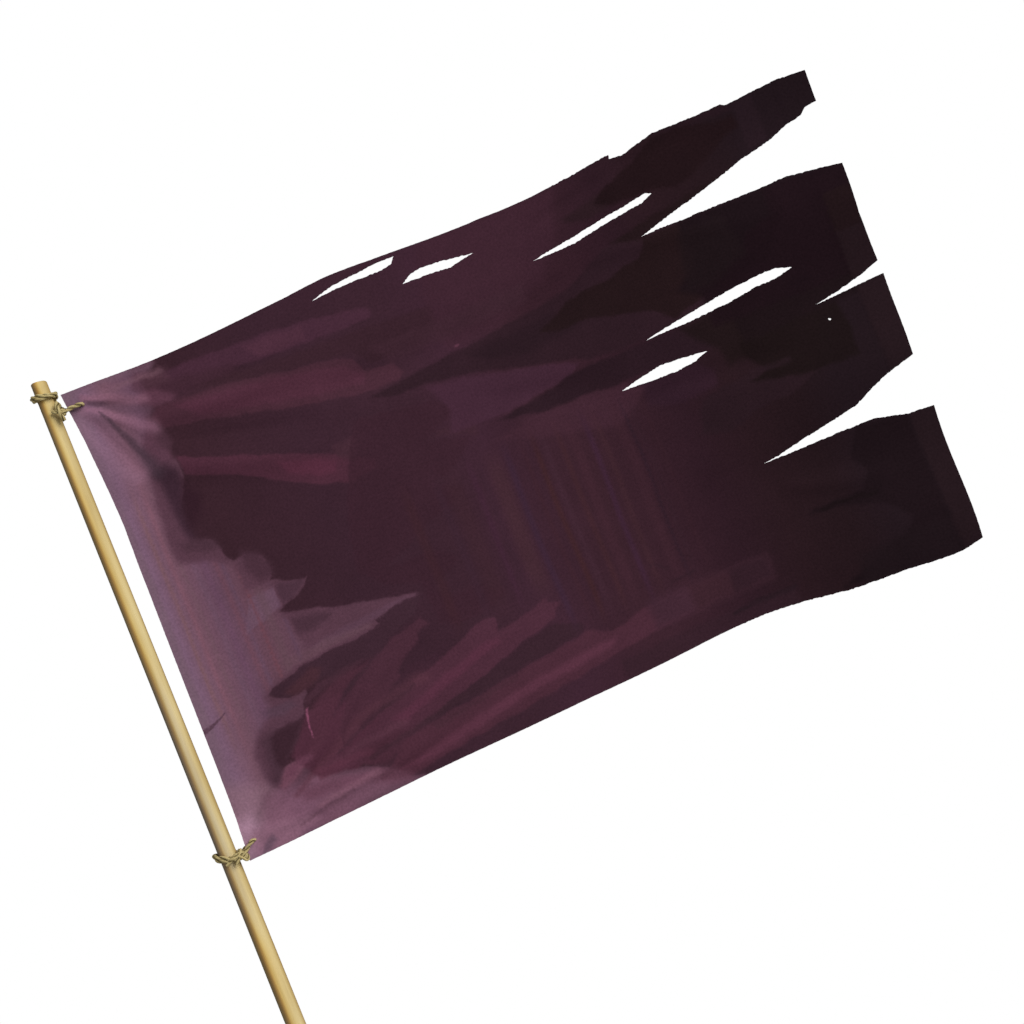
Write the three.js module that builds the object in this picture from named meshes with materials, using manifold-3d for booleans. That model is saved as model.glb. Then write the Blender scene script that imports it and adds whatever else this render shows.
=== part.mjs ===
// A tattered flag that hangs from a plain tapered wooden pole by two knotted rope ties.
// Millimetres. The pole stands on the origin along +Z, and the flag flies towards +X.
// Heights on the cloth and the ties are given as a drop below the top tie.
import * as THREE from 'three';
import { mergeVertices } from 'three/addons/utils/BufferGeometryUtils.js';
import Module from 'manifold-3d';

const wasm = await Module();
wasm.setup();

// Pole
const POLE_LENGTH = 2000;
const POLE_FOOT_RADIUS = 18.8;
const POLE_TOP_RADIUS = 14.3;
const POLE_SIDES = 32;
const POLE_ARRIS = 3; // the worn edge round the top end
const POLE_FOOT_CHAMFER = 1.5;
const CUT_SLOPE = 0.1; // the hand-cut top end falls towards the cloth
const CUT_REACH = 30; // how far down the slanting cut draws the wood's edge

// Ties
const TIE_TOP_Z = 1970;
const TIE_BOTTOM_DROP = 888;
const ROPE_RADIUS = 4.2;
const ROPE_SIDES = 8;
const ROPE_SEAT = 0.6; // between the turns of rope and the pole
const TURN_STEPS = 20; // steps of a rope's turn round the pole
const TURN_SPREAD = 0.75; // how far two turns lie apart, as a share of the rope's radius
const TURN_CROSSING = -40; // where they cross, in degrees round from the pole's right side to its back
const TURN_RISE = 0.3; // how far a turn climbs over the other where they cross, as such a share
const STRAND_STEP = 9; // the length of a step elsewhere

// Cloth, cut flat as CLOTH_FLY by CLOTH_HOIST. A place on it is s along the fly and t down the hoist.
const CLOTH_FLY = 1500;
const CLOTH_HOIST = 900;
const CLOTH_THICKNESS = 2.4;
const CLOTH_X = 31; // the hoist edge's distance from the pole's axis at the top corner
const CLOTH_DROP = 8; // the top corner hangs this far below the top tie
const HOLE_RADIUS = ROPE_RADIUS + 0.8; // a corner hole that a tie goes through
const HOLE_SIDES = 12;
const TOP_HOLE = [27, 29];
const BOTTOM_HOLE = [20, 869];

// The hoist edge bows away from the pole between the ties, by [drop, distance].
const HOIST_SAG = [[0, 0], [100, 8], [260, 15], [500, 12], [800, 7], [900, 2]];
const SAG_REACH = 600; // how far along the fly the sag fades out

// The long wave that the cloth flies in, by [place along the fly, depth behind the pole's axis].
const WAVE = [
  [0, -6], [60, 4], [170, 31], [280, 40], [490, 34], [600, 52], [820, 132], [915, 153],
  [1010, 138], [1150, 80], [1260, 24], [1350, 2], [1470, -12], [1620, -20],
];
const WAVE_LEAN = 0.07; // the wave runs ahead by this share at the top edge, and lags at the bottom
const RUN_STEP = 20; // the length of cloth that is taken as straight within the wave

// The wind carries the cloth up a little towards the fly, by [place along the fly, rise].
const LIFT = [[0, 0], [200, 6], [540, 30], [840, 39], [1070, 53], [1200, 50], [1330, 44], [1500, 48]];

// The torn tongues flutter, each a little out of step with the next.
const FLUTTER_START = 1080;
const FLUTTER_DEPTH = 11;
const FLUTTER_PITCH = 310;

// Folds: [from, to, half width at each, depth]. A ridge towards the front has a negative depth.
const FOLD_SWELL = 0.7; // below 1, a fold is deepest before its middle
const FOLDS = [
  { from: [20, 24], to: [165, 58], width: [10, 24], depth: -5 },
  { from: [24, 34], to: [160, 88], width: [7, 17], depth: 4.5 },
  { from: [20, 40], to: [150, 128], width: [10, 22], depth: -5 },
  { from: [14, 44], to: [128, 320], width: [14, 40], depth: 8 },
  { from: [110, 100], to: [520, 140], width: [18, 30], depth: -8 },
  { from: [100, 180], to: [500, 318], width: [20, 36], depth: -8 },
  { from: [430, 196], to: [1240, 188], width: [24, 62], depth: 15 },
  { from: [700, 318], to: [1000, 385], width: [22, 36], depth: 8 },
  { from: [16, 850], to: [120, 700], width: [12, 44], depth: 8 },
  { from: [20, 856], to: [480, 600], width: [16, 42], depth: -10 },
  { from: [24, 860], to: [560, 690], width: [12, 38], depth: 7 },
  { from: [28, 864], to: [740, 672], width: [14, 48], depth: -10 },
  { from: [30, 870], to: [820, 795], width: [12, 40], depth: -7 },
];

// The place that the outline is measured from, and where it is seen from: straight on, level with
// the middle of the cloth. A point is [right, down] as it shows on the plane of the pole's axis.
const OUTLINE_X = 4.8;
const EYE_DISTANCE = 3000;
const EYE_X = 703;
const EYE_DROP = 503;
const FIT_PASSES = 14; // passes that find the place on the cloth that shows at such a point

const TOP_EDGE = [
  [24, 6], [211, 9], [380, 0], [460, -6], [544, -14], [630, -12], [841, -8], [945, -10], [1030, -19],
  [1097, -28], [1096, -21], [1120, -18], [1185, -35], [1258, -35], [1317, -37], [1325, -33],
  [1385, -38], [1425, -41], [1482, -38],
];
const GAP_1 = [
  [1480, 21], [1457, 24], [1445, 35], [1411, 42], [1377, 55], [1314, 69], [1203, 102], [1139, 119],
  [1097, 131], [1135, 129], [1177, 130], [1251, 129], [1327, 129], [1377, 127], [1482, 142],
];
const GAP_2 = [[1477, 235], [1476, 328], [1437, 341], [1391, 352], [1342, 361], [1420, 356], [1477, 353]];
const GAP_3 = [
  [1472, 508], [1444, 516], [1418, 523], [1388, 534], [1341, 556], [1288, 566], [1232, 576],
  [1183, 587], [1148, 591], [1201, 591], [1249, 590], [1294, 589], [1366, 589], [1392, 596],
  [1424, 604], [1473, 607],
];
const BOTTOM_EDGE = [
  [1466, 860], [1428, 868], [1399, 869], [1314, 862], [1209, 859], [1130, 848], [1061, 843],
  [922, 850], [704, 865], [560, 874], [407, 882], [200, 897], [28, 909],
];
const HOIST_EDGE = [[34, 800], [38, 500], [40, 340], [42, 262], [39, 184], [34, 104]];
const SLITS = [
  [[504, 18], [548, 6], [600, 1], [640, -3], [672, -3], [664, 8], [640, 13], [560, 13]],
  [[668, 50], [686, 39], [707, 35], [745, 37], [806, 45], [759, 54], [721, 51]],
  [[901, 99], [926, 94], [986, 85], [1085, 69], [1133, 61], [1145, 65], [1120, 75], [983, 97]],
  [
    [1036, 307], [1127, 291], [1230, 276], [1280, 272], [1301, 273], [1329, 282], [1292, 290],
    [1254, 291], [1201, 299], [1120, 305],
  ],
  [[962, 375], [1000, 366], [1042, 358], [1131, 365], [1103, 375], [1069, 379], [1015, 378]],
];

// A smooth curve through [place, value] stations, level past both ends
function through(stations, at) {
  const last = stations.length - 1;
  const place = THREE.MathUtils.clamp(at, stations[0][0], stations[last][0]);
  const i = Math.max(1, stations.findIndex(([end]) => end >= place));
  const slope = (k) => {
    const before = stations[Math.max(k - 1, 0)];
    const after = stations[Math.min(k + 1, last)];
    return (after[1] - before[1]) / (after[0] - before[0]);
  };
  const width = stations[i][0] - stations[i - 1][0];
  const p = (place - stations[i - 1][0]) / width;
  const q = 1 - p;
  const ends = stations[i - 1][1] * (1 + 2 * p) * q * q + stations[i][1] * p * p * (3 - 2 * p);
  return ends + (slope(i - 1) * q - slope(i) * p) * width * p * q;
}

function wave(s, t) {
  return through(WAVE, s * (1 + WAVE_LEAN * (1 - (2 * t) / CLOTH_HOIST)));
}

function foldDepth({ from, to, width, depth }, s, t) {
  const [along, across] = [to[0] - from[0], to[1] - from[1]];
  const length = Math.hypot(along, across);
  const p = ((s - from[0]) * along + (t - from[1]) * across) / length ** 2;
  if (p <= 0 || p >= 1) return 0;
  const off = ((s - from[0]) * across - (t - from[1]) * along) / length;
  const half = THREE.MathUtils.lerp(width[0], width[1], p);
  return depth * Math.sin(Math.PI * p ** FOLD_SWELL) * Math.exp(-((off / half) ** 2));
}

function flutter(s, t) {
  const grown = THREE.MathUtils.smoothstep(s, FLUTTER_START, CLOTH_FLY);
  return FLUTTER_DEPTH * grown * Math.sin((2 * Math.PI * t) / FLUTTER_PITCH);
}

function depthAt(s, t) {
  return FOLDS.reduce((sum, fold) => sum + foldDepth(fold, s, t), wave(s, t) + flutter(s, t));
}

// How far the cloth reaches along +X by place s, as its waves take up some of its length
function reach(s, t) {
  const steps = Math.max(1, Math.ceil(Math.abs(s) / RUN_STEP));
  const step = s / steps;
  let total = 0;
  for (let i = 0; i < steps; i += 1) {
    const rise = wave((i + 1) * step, t) - wave(i * step, t);
    total += Math.sign(s) * Math.sqrt(step ** 2 - rise ** 2);
  }
  return total;
}

// A place on the cloth as it hangs, as { x, z }
function hung(s, t) {
  const fade = THREE.MathUtils.clamp(1 - s / SAG_REACH, 0, 1) ** 2;
  return {
    x: CLOTH_X + through(HOIST_SAG, t) * fade + reach(s, t),
    z: TIE_TOP_Z - CLOTH_DROP - t + through(LIFT, s),
  };
}

// The place on the cloth that shows at a point of the outline
function clothPlace([right, down]) {
  let [s, t] = [right, down];
  for (let pass = 0; pass < FIT_PASSES; pass += 1) {
    const { x, z } = hung(s, t);
    const scale = EYE_DISTANCE / (EYE_DISTANCE + depthAt(s, t));
    s += right + OUTLINE_X - (EYE_X + (x - EYE_X) * scale);
    t += down - (EYE_DROP + (TIE_TOP_Z - z - EYE_DROP) * scale);
  }
  return [s, t];
}

const MERGE_WITHIN = 1e-3;

function toSolid(geometry) {
  const bare = geometry.clone();
  bare.deleteAttribute('normal');
  bare.deleteAttribute('uv');
  const merged = mergeVertices(bare, MERGE_WITHIN);
  const { array } = merged.getAttribute('position');
  const vertProperties = Float32Array.from(array);
  const triVerts = Uint32Array.from(merged.getIndex().array);
  return new wasm.Manifold(new wasm.Mesh({ numProp: 3, vertProperties, triVerts }));
}

function toGeometry(solid) {
  const { vertProperties, triVerts, numProp } = solid.getMesh();
  const count = vertProperties.length / numProp;
  const points = new Float32Array(count * 3);
  for (let i = 0; i < count; i += 1) {
    points.set(vertProperties.subarray(i * numProp, i * numProp + 3), i * 3);
  }
  const geometry = new THREE.BufferGeometry();
  geometry.setAttribute('position', new THREE.BufferAttribute(points, 3));
  geometry.setIndex(new THREE.BufferAttribute(triVerts, 1));
  geometry.computeVertexNormals();
  return geometry;
}

// The uncut cloth: a thin slab on the cloth's waves and folds, over flat places s and -t
const SHEET_MARGIN = 60;
const COLUMN_STEP = 20;
const COLUMN_GROWTH = 0.3; // the columns widen towards the fly, where the folds are broader
const COLUMNS = 50;
const ROWS = 33;

function uncutSheet() {
  const points = [];
  const faces = [];
  const columnAt = (i) => COLUMN_STEP * i + COLUMN_GROWTH * i * i - SHEET_MARGIN;
  const rowAt = (j) => ((CLOTH_HOIST + 2 * SHEET_MARGIN) * j) / ROWS - SHEET_MARGIN;
  const index = (i, j, side) => (i * (ROWS + 1) + j) * 2 + side;
  for (let i = 0; i <= COLUMNS; i += 1) {
    for (let j = 0; j <= ROWS; j += 1) {
      const depth = depthAt(columnAt(i), rowAt(j));
      points.push(columnAt(i), depth - CLOTH_THICKNESS / 2, -rowAt(j));
      points.push(columnAt(i), depth + CLOTH_THICKNESS / 2, -rowAt(j));
    }
  }
  const quad = (a, b, c, d) => faces.push(a, b, c, a, c, d);
  for (let i = 0; i < COLUMNS; i += 1) {
    for (let j = 0; j < ROWS; j += 1) {
      quad(index(i, j, 0), index(i, j + 1, 0), index(i + 1, j + 1, 0), index(i + 1, j, 0));
      quad(index(i, j, 1), index(i + 1, j, 1), index(i + 1, j + 1, 1), index(i, j + 1, 1));
    }
    quad(index(i, 0, 0), index(i + 1, 0, 0), index(i + 1, 0, 1), index(i, 0, 1));
    quad(index(i, ROWS, 0), index(i, ROWS, 1), index(i + 1, ROWS, 1), index(i + 1, ROWS, 0));
  }
  for (let j = 0; j < ROWS; j += 1) {
    quad(index(0, j, 0), index(0, j, 1), index(0, j + 1, 1), index(0, j + 1, 0));
    quad(index(COLUMNS, j, 0), index(COLUMNS, j + 1, 0), index(COLUMNS, j + 1, 1), index(COLUMNS, j, 1));
  }
  const geometry = new THREE.BufferGeometry();
  geometry.setAttribute('position', new THREE.Float32BufferAttribute(points, 3));
  geometry.setIndex(faces);
  return geometry;
}

// A straight cutter through the whole depth of the sheet, from places on the cloth
const CUTTER_REACH = 400;

function cutter(places) {
  const shape = new THREE.Shape(places.map(([s, t]) => new THREE.Vector2(s, -t)));
  const geometry = new THREE.ExtrudeGeometry(shape, { depth: 2 * CUTTER_REACH, bevelEnabled: false });
  geometry.rotateX(Math.PI / 2);
  geometry.translate(0, CUTTER_REACH, 0);
  return toSolid(geometry);
}

function hole([s, t]) {
  const places = [];
  for (let i = 0; i < HOLE_SIDES; i += 1) {
    const turn = (2 * Math.PI * i) / HOLE_SIDES;
    places.push([s + HOLE_RADIUS * Math.cos(turn), t + HOLE_RADIUS * Math.sin(turn)]);
  }
  return cutter(places);
}

function flag() {
  const outline = [...TOP_EDGE, ...GAP_1, ...GAP_2, ...GAP_3, ...BOTTOM_EDGE, ...HOIST_EDGE];
  let cloth = toSolid(uncutSheet()).intersect(cutter(outline.map(clothPlace)));
  for (const slit of SLITS) cloth = cloth.subtract(cutter(slit.map(clothPlace)));
  for (const place of [TOP_HOLE, BOTTOM_HOLE]) cloth = cloth.subtract(hole(place));
  const geometry = toGeometry(cloth);
  const position = geometry.getAttribute('position');
  for (let i = 0; i < position.count; i += 1) {
    const { x, z } = hung(position.getX(i), -position.getZ(i));
    position.setXYZ(i, x, position.getY(i), z);
  }
  geometry.computeVertexNormals();
  return geometry;
}

function poleRadius(z) {
  return THREE.MathUtils.lerp(POLE_FOOT_RADIUS, POLE_TOP_RADIUS, z / POLE_LENGTH);
}

function pole() {
  const profile = [
    [0, 0],
    [poleRadius(0) - POLE_FOOT_CHAMFER, 0],
    [poleRadius(POLE_FOOT_CHAMFER), POLE_FOOT_CHAMFER],
    [poleRadius(POLE_LENGTH - CUT_REACH), POLE_LENGTH - CUT_REACH],
    [poleRadius(POLE_LENGTH), POLE_LENGTH - POLE_ARRIS],
    [poleRadius(POLE_LENGTH) - POLE_ARRIS, POLE_LENGTH],
    [0, POLE_LENGTH],
  ];
  const geometry = new THREE.LatheGeometry(profile.map((p) => new THREE.Vector2(...p)), POLE_SIDES);
  geometry.rotateX(Math.PI / 2);
  const position = geometry.getAttribute('position');
  for (let i = 0; i < position.count; i += 1) {
    const share = THREE.MathUtils.clamp((position.getZ(i) - POLE_LENGTH + CUT_REACH) / CUT_REACH, 0, 1);
    position.setZ(i, position.getZ(i) - CUT_SLOPE * position.getX(i) * share);
  }
  geometry.computeVertexNormals();
  return geometry;
}

// A length of rope along points [x, y, drop below the tie's own height]
function strand(points, tieZ) {
  const path = new THREE.CatmullRomCurve3(
    points.map(([x, y, drop]) => new THREE.Vector3(x, y, tieZ - drop)),
    false,
    'centripetal',
  );
  const section = new THREE.Shape().absarc(0, 0, ROPE_RADIUS, 0, 2 * Math.PI, false);
  return toSolid(new THREE.ExtrudeGeometry(section, {
    steps: Math.ceil(path.getLength() / STRAND_STEP),
    curveSegments: ROPE_SIDES / 2,
    extrudePath: path,
  }));
}

// A turn round the pole, as a closed ring of rope. Two turns cross at two places: the one whose over
// is 1 lies over the other at the first of them, and the other at the second.
function turn(tieZ, over, { frontDrop, rightDrop }) {
  const radius = poleRadius(tieZ) + ROPE_SEAT + ROPE_RADIUS;
  const points = [];
  const faces = [];
  for (let i = 0; i < TURN_STEPS; i += 1) {
    const angle = (2 * Math.PI * i) / TURN_STEPS;
    const past = angle - THREE.MathUtils.degToRad(TURN_CROSSING);
    const out = radius + ROPE_RADIUS * TURN_RISE * (1 + over * Math.cos(past));
    const apart = over * ROPE_RADIUS * TURN_SPREAD * Math.sin(past);
    const z = tieZ - rightDrop * Math.cos(angle) + frontDrop * Math.sin(angle) + apart;
    const next = (i + 1) % TURN_STEPS;
    for (let j = 0; j < ROPE_SIDES; j += 1) {
      const around = (2 * Math.PI * j) / ROPE_SIDES;
      const reached = out + ROPE_RADIUS * Math.cos(around);
      points.push(reached * Math.cos(angle), reached * Math.sin(angle), z + ROPE_RADIUS * Math.sin(around));
      const [a, b] = [j, (j + 1) % ROPE_SIDES].map((k) => i * ROPE_SIDES + k);
      const [c, d] = [j, (j + 1) % ROPE_SIDES].map((k) => next * ROPE_SIDES + k);
      faces.push(a, c, d, a, d, b);
    }
  }
  const geometry = new THREE.BufferGeometry();
  geometry.setAttribute('position', new THREE.Float32BufferAttribute(points, 3));
  geometry.setIndex(faces);
  return toSolid(geometry);
}

// The rope's leg through a corner hole: out of the knot, in at the front and back behind the cloth
function leg(tieZ, [s, t], front, back) {
  const { x, z } = hung(s, t);
  const y = depthAt(s, t);
  const drop = tieZ - z;
  const straight = 4.5;
  const bend = 9.5;
  const aside = 3;
  return strand([
    ...front,
    [x - aside, y - bend, drop],
    [x, y - straight, drop],
    [x, y + straight, drop],
    [x - aside, y + bend, drop],
    ...back,
  ], tieZ);
}

function joined(solids) {
  return toGeometry(solids.reduce((sum, next) => sum.add(next)));
}

function topTie() {
  const z = TIE_TOP_Z;
  return joined([
    turn(z, 1, { frontDrop: 0, rightDrop: 2.5 }),
    turn(z, -1, { frontDrop: 0, rightDrop: 2.5 }),
    strand([[9, 19, 4], [13, 18, 14], [18, 13, 25], [22, 3, 32], [25, -9, 37], [25, -16, 44]], z),
    strand([[20, -14, 18], [19, -20, 27], [20, -22, 38], [23, -19, 54]], z),
    strand([[26, -15, 37], [18, -20, 35], [8, -21, 32]], z),
    leg(z, TOP_HOLE, [[24, -18, 41], [34, -16, 38], [46, -13, 36]], [[46, 9, 36], [35, 8, 36], [24, 2, 34]]),
  ]);
}

function bottomTie() {
  const z = TIE_TOP_Z - TIE_BOTTOM_DROP;
  return joined([
    turn(z, 1, { frontDrop: 1, rightDrop: 8 }),
    turn(z, -1, { frontDrop: 1, rightDrop: 8 }),
    strand([[22, 2, 3], [25, -8, -5], [25, -15, -1], [19, -20, 7], [13, -23, 15]], z),
    strand([[16, -21, 1], [25, -18, 8], [33, -14, 14], [35, -12, 8], [31, -14, 1], [21, -17, 1]], z),
    strand([[21, -20, -1], [12, -24, 3], [3, -24, 6], [-3, -25, 11]], z),
    leg(z, BOTTOM_HOLE, [[28, -16, 8], [35, -15, 1], [44, -13, -7]], [[44, 10, -8], [34, 5, -3], [25, -8, 2]]),
  ]);
}

function material(color, roughness) {
  return new THREE.MeshStandardMaterial({ color, roughness, metalness: 0 });
}

const wood = material(0xcdb27c, 0.55);
const cloth = material(0x3f2733, 0.9);
const rope = material(0x8f8458, 0.85);

function node(name, geometry, finish) {
  const mesh = new THREE.Mesh(geometry, finish);
  mesh.name = name;
  return mesh;
}

const model = new THREE.Group();
model.add(
  node('pole', pole(), wood),
  node('flag', flag(), cloth),
  node('tie_top', topTie(), rope),
  node('tie_bottom', bottomTie(), rope),
);

export default model;
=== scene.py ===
"""A tattered flag on a plain wooden pole, held at both hoist corners by knotted rope.

Sizes are millimetres until mesh_object() turns them into metres. The pole stands on the origin
along +Z and the flag flies towards +X. A place on the cloth is s along the fly and t down the hoist.
Heights on the cloth are drops below the top tie, and a rope's are drops below its own tie.
"""

import math
import random

import bpy
import numpy as np
from mathutils import Matrix, Vector, noise
from mathutils.geometry import delaunay_2d_cdt
from mathutils.kdtree import KDTree


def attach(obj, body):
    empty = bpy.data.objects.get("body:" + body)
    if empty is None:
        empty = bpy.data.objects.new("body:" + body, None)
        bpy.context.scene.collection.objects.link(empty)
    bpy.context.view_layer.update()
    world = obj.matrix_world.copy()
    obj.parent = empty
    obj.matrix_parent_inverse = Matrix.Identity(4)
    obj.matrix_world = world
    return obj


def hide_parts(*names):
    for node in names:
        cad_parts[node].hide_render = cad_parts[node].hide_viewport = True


MM = 0.001
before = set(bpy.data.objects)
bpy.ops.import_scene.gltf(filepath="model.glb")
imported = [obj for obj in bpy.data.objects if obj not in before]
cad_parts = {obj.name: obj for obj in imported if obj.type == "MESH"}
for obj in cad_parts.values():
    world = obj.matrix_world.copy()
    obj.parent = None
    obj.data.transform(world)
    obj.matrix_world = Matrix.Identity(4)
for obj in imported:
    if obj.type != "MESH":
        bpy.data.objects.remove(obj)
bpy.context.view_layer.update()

# Edges of more degrees than these are drawn sharp
POLE_SHARP, ROPE_SHARP, CLOTH_SHARP = 35, 60, 50

# Pole
POLE_LENGTH = 2000
POLE_FOOT_RADIUS = 18.8
POLE_TOP_RADIUS = 14.3
POLE_ARRIS = 3
ARRIS_MIDDLE = 0.4  # how far its worn middle lies in from the sharp edge, as a share of it
POLE_FOOT_CHAMFER = 1.5
CUT_SLOPE = 0.1
CUT_REACH = 30
POLE_SIDES = 72
POLE_RING_STEP = 10

# Ties
TIE_TOP_Z = 1970
TIE_BOTTOM_DROP = 888
ROPE_RADIUS = 4.2
ROPE_SEAT = 0.6
TURN_STEPS = 72
TURN_SPREAD = 0.75
TURN_CROSSING = math.radians(-40)
TURN_RISE = 0.3
ROPE_LAY = 34  # the length in which a rope's strands go once round each other
STRAND_RADIUS = 2.55
STRAND_OFFSET = ROPE_RADIUS - STRAND_RADIUS
STRAND_SIDES = 12
STRAND_STEP = 1.6
STRAND_SWELL = 0.04
STRAND_SWELLS = 3  # in each lay
CURVE_STEP = 0.05  # as a share of each stretch between two points of a route
LEG_STRAIGHT = 4.5
LEG_BEND = 9.5
LEG_ASIDE = 3
WHISKERS = 2  # loose fibres on each run of rope
WHISKER_ROOT = 0.5  # how deep in the rope it starts
WHISKER_BEND = (0.4, 2)  # out as a share of its reach, and along the rope
WHISKER_OUT = (1.0, 3.2)
WHISKER_ALONG = (2, 6)
WHISKER_RADII = (0.2, 0.17, 0.06)
WHISKER_SIDES = 3
NOT_ALONG = (0.3, 0.2, 0.93)  # no run of rope starts in this direction

# Cloth
CLOTH_FLY = 1500
CLOTH_HOIST = 900
CLOTH_SHOWN_THICKNESS = 1.4
CLOTH_X = 31
CLOTH_DROP = 8
HOLE_RADIUS = 2.6  # the cloth closes round the rope, so no light shows between them
TOP_HOLE = (27, 29)
BOTTOM_HOLE = (20, 869)
HOLE_SIDES = 32
EVEN_ROUND_HOLE = 26  # the finer creases fade out this near to a corner hole
HOIST_SAG = [(0, 0), (100, 8), (260, 15), (500, 12), (800, 7), (900, 2)]
SAG_REACH = 600
WAVE = [
    (0, -6), (60, 4), (170, 31), (280, 40), (490, 34), (600, 52), (820, 132), (915, 153),
    (1010, 138), (1150, 80), (1260, 24), (1350, 2), (1470, -12), (1620, -20),
]
WAVE_LEAN = 0.07
RUN_STEPS = 84
LIFT = [(0, 0), (200, 6), (540, 30), (840, 39), (1070, 53), (1200, 50), (1330, 44), (1500, 48)]
FLUTTER_START = 1080
FLUTTER_DEPTH = 11
FLUTTER_PITCH = 310
FOLD_SWELL = 0.7

# Folds: from, to, half width at each end, depth. A ridge towards the front has a negative depth.
FOLDS = [
    ((20, 24), (165, 58), (10, 24), -5),
    ((24, 34), (160, 88), (7, 17), 4.5),
    ((20, 40), (150, 128), (10, 22), -5),
    ((14, 44), (128, 320), (14, 40), 8),
    ((110, 100), (520, 140), (18, 30), -8),
    ((100, 180), (500, 318), (20, 36), -8),
    ((430, 196), (1240, 188), (24, 62), 15),
    ((700, 318), (1000, 385), (22, 36), 8),
    ((16, 850), (120, 700), (12, 44), 8),
    ((20, 856), (480, 600), (16, 42), -10),
    ((24, 860), (560, 690), (12, 38), 7),
    ((28, 864), (740, 672), (14, 48), -10),
    ((30, 870), (820, 795), (12, 40), -7),
]
# Finer creases, in the same form
CREASES = [
    ((45, 40), (150, 62), (4, 7), 1.0),
    ((40, 52), (118, 150), (4, 8), 1.2),
    ((36, 60), (92, 210), (4, 8), -1.2),
    ((48, 46), (170, 104), (4, 8), -1.0),
    ((60, 30), (240, 44), (5, 9), -1.0),
    ((150, 150), (420, 226), (8, 12), 2.2),
    ((180, 80), (560, 100), (8, 12), 2.2),
    ((40, 838), (160, 740), (5, 10), -1.8),
    ((46, 850), (300, 752), (5, 12), 2.0),
    ((52, 862), (420, 800), (5, 12), 2.0),
    ((60, 872), (520, 838), (5, 10), -1.8),
    ((260, 740), (560, 640), (8, 14), 2.2),
    ((880, 60), (1330, 20), (10, 16), 2.4),
    ((1000, 160), (1400, 220), (12, 22), -3.0),
    ((960, 440), (1440, 460), (14, 26), 3.2),
    ((1180, 690), (1460, 740), (14, 30), -3.4),
]

# What is seen from the front is measured from here, as [right, down] on the plane of the pole's axis.
OUTLINE_X = 4.8
EYE_DISTANCE = 3000
EYE_X = 703
EYE_DROP = 503
FIT_PASSES = 14

TOP_EDGE = [
    (24, 6), (211, 9), (380, 0), (460, -6), (544, -14), (630, -12), (841, -8), (945, -10), (1030, -19),
    (1097, -28), (1096, -21), (1120, -18), (1185, -35), (1258, -35), (1317, -37), (1325, -33),
    (1385, -38), (1425, -41), (1482, -38),
]
GAP_1 = [
    (1480, 21), (1457, 24), (1445, 35), (1411, 42), (1377, 55), (1314, 69), (1203, 102), (1139, 119),
    (1097, 131), (1135, 129), (1177, 130), (1251, 129), (1327, 129), (1377, 127), (1482, 142),
]
GAP_2 = [(1477, 235), (1476, 328), (1437, 341), (1391, 352), (1342, 361), (1420, 356), (1477, 353)]
GAP_3 = [
    (1472, 508), (1444, 516), (1418, 523), (1388, 534), (1341, 556), (1288, 566), (1232, 576),
    (1183, 587), (1148, 591), (1201, 591), (1249, 590), (1294, 589), (1366, 589), (1392, 596),
    (1424, 604), (1473, 607),
]
BOTTOM_EDGE = [
    (1466, 860), (1428, 868), (1399, 869), (1314, 862), (1209, 859), (1130, 848), (1061, 843),
    (922, 850), (704, 865), (560, 874), (407, 882), (200, 897), (28, 909),
]
HOIST_EDGE = [(34, 800), (38, 500), (40, 340), (42, 262), (39, 184), (34, 104)]
SLITS = [
    [(504, 18), (548, 6), (600, 1), (640, -3), (672, -3), (664, 8), (640, 13), (560, 13)],
    [(668, 50), (686, 39), (707, 35), (745, 37), (806, 45), (759, 54), (721, 51)],
    [(901, 99), (926, 94), (986, 85), (1085, 69), (1133, 61), (1145, 65), (1120, 75), (983, 97)],
    [
        (1036, 307), (1127, 291), (1230, 276), (1280, 272), (1301, 273), (1329, 282), (1292, 290),
        (1254, 291), (1201, 299), (1120, 305),
    ],
    [(962, 375), (1000, 366), (1042, 358), (1131, 365), (1103, 375), (1069, 379), (1015, 378)],
    [(1355, 392), (1360, 394), (1359, 397), (1354, 395)],
]

# How finely the cloth is laid out
LATTICE = 6.4
LATTICE_FROM = (-60, -80)
LATTICE_PAST = 200  # how much longer and higher it is than the flat cloth
EDGE_STEP = 3.6
RIM_STEP = 2
RIM_CLEAR = LATTICE / 2  # no point of the lattice lies nearer to a rim
SAME_POINT = 1e-4  # points nearer to each other are one
COLOUR_STEPS = (7, 12)  # where the dye changes faster than this between two points, one goes between
FRAY_DEPTH = 0.8
FRAY_ROOM = 4 * FRAY_DEPTH  # a gap narrower than this is frayed less
FRAY_OF_HEM = 0.25  # as a share of a torn edge's
FRAYED_FROM, FRAYED_TO = 1000, CLOTH_FLY - 20
FRAY_SEED, SLIT_SEED = 11, 20
HEM_WIDTH = 48  # the doubled strip along the fly
HEM_STEP = 0.7
HEM_STEP_WIDTH = 1.5


def through(stations, at):
    """A smooth curve through (place, value) stations, level past both ends."""
    places, values = np.array(stations, float).T
    last = len(places) - 1
    before = np.maximum(np.arange(last + 1) - 1, 0)
    after = np.minimum(np.arange(last + 1) + 1, last)
    slopes = (values[after] - values[before]) / (places[after] - places[before])
    place = np.clip(at, places[0], places[-1])
    i = np.clip(np.searchsorted(places, place), 1, last)
    width = places[i] - places[i - 1]
    p = (place - places[i - 1]) / width
    q = 1 - p
    ends = values[i - 1] * (1 + 2 * p) * q * q + values[i] * p * p * (3 - 2 * p)
    return ends + (slopes[i - 1] * q - slopes[i] * p) * width * p * q


def smoothstep(value, low, high):
    p = np.clip((value - low) / (high - low), 0, 1)
    return p * p * (3 - 2 * p)


def wave(s, t):
    return through(WAVE, s * (1 + WAVE_LEAN * (1 - 2 * t / CLOTH_HOIST)))


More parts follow.
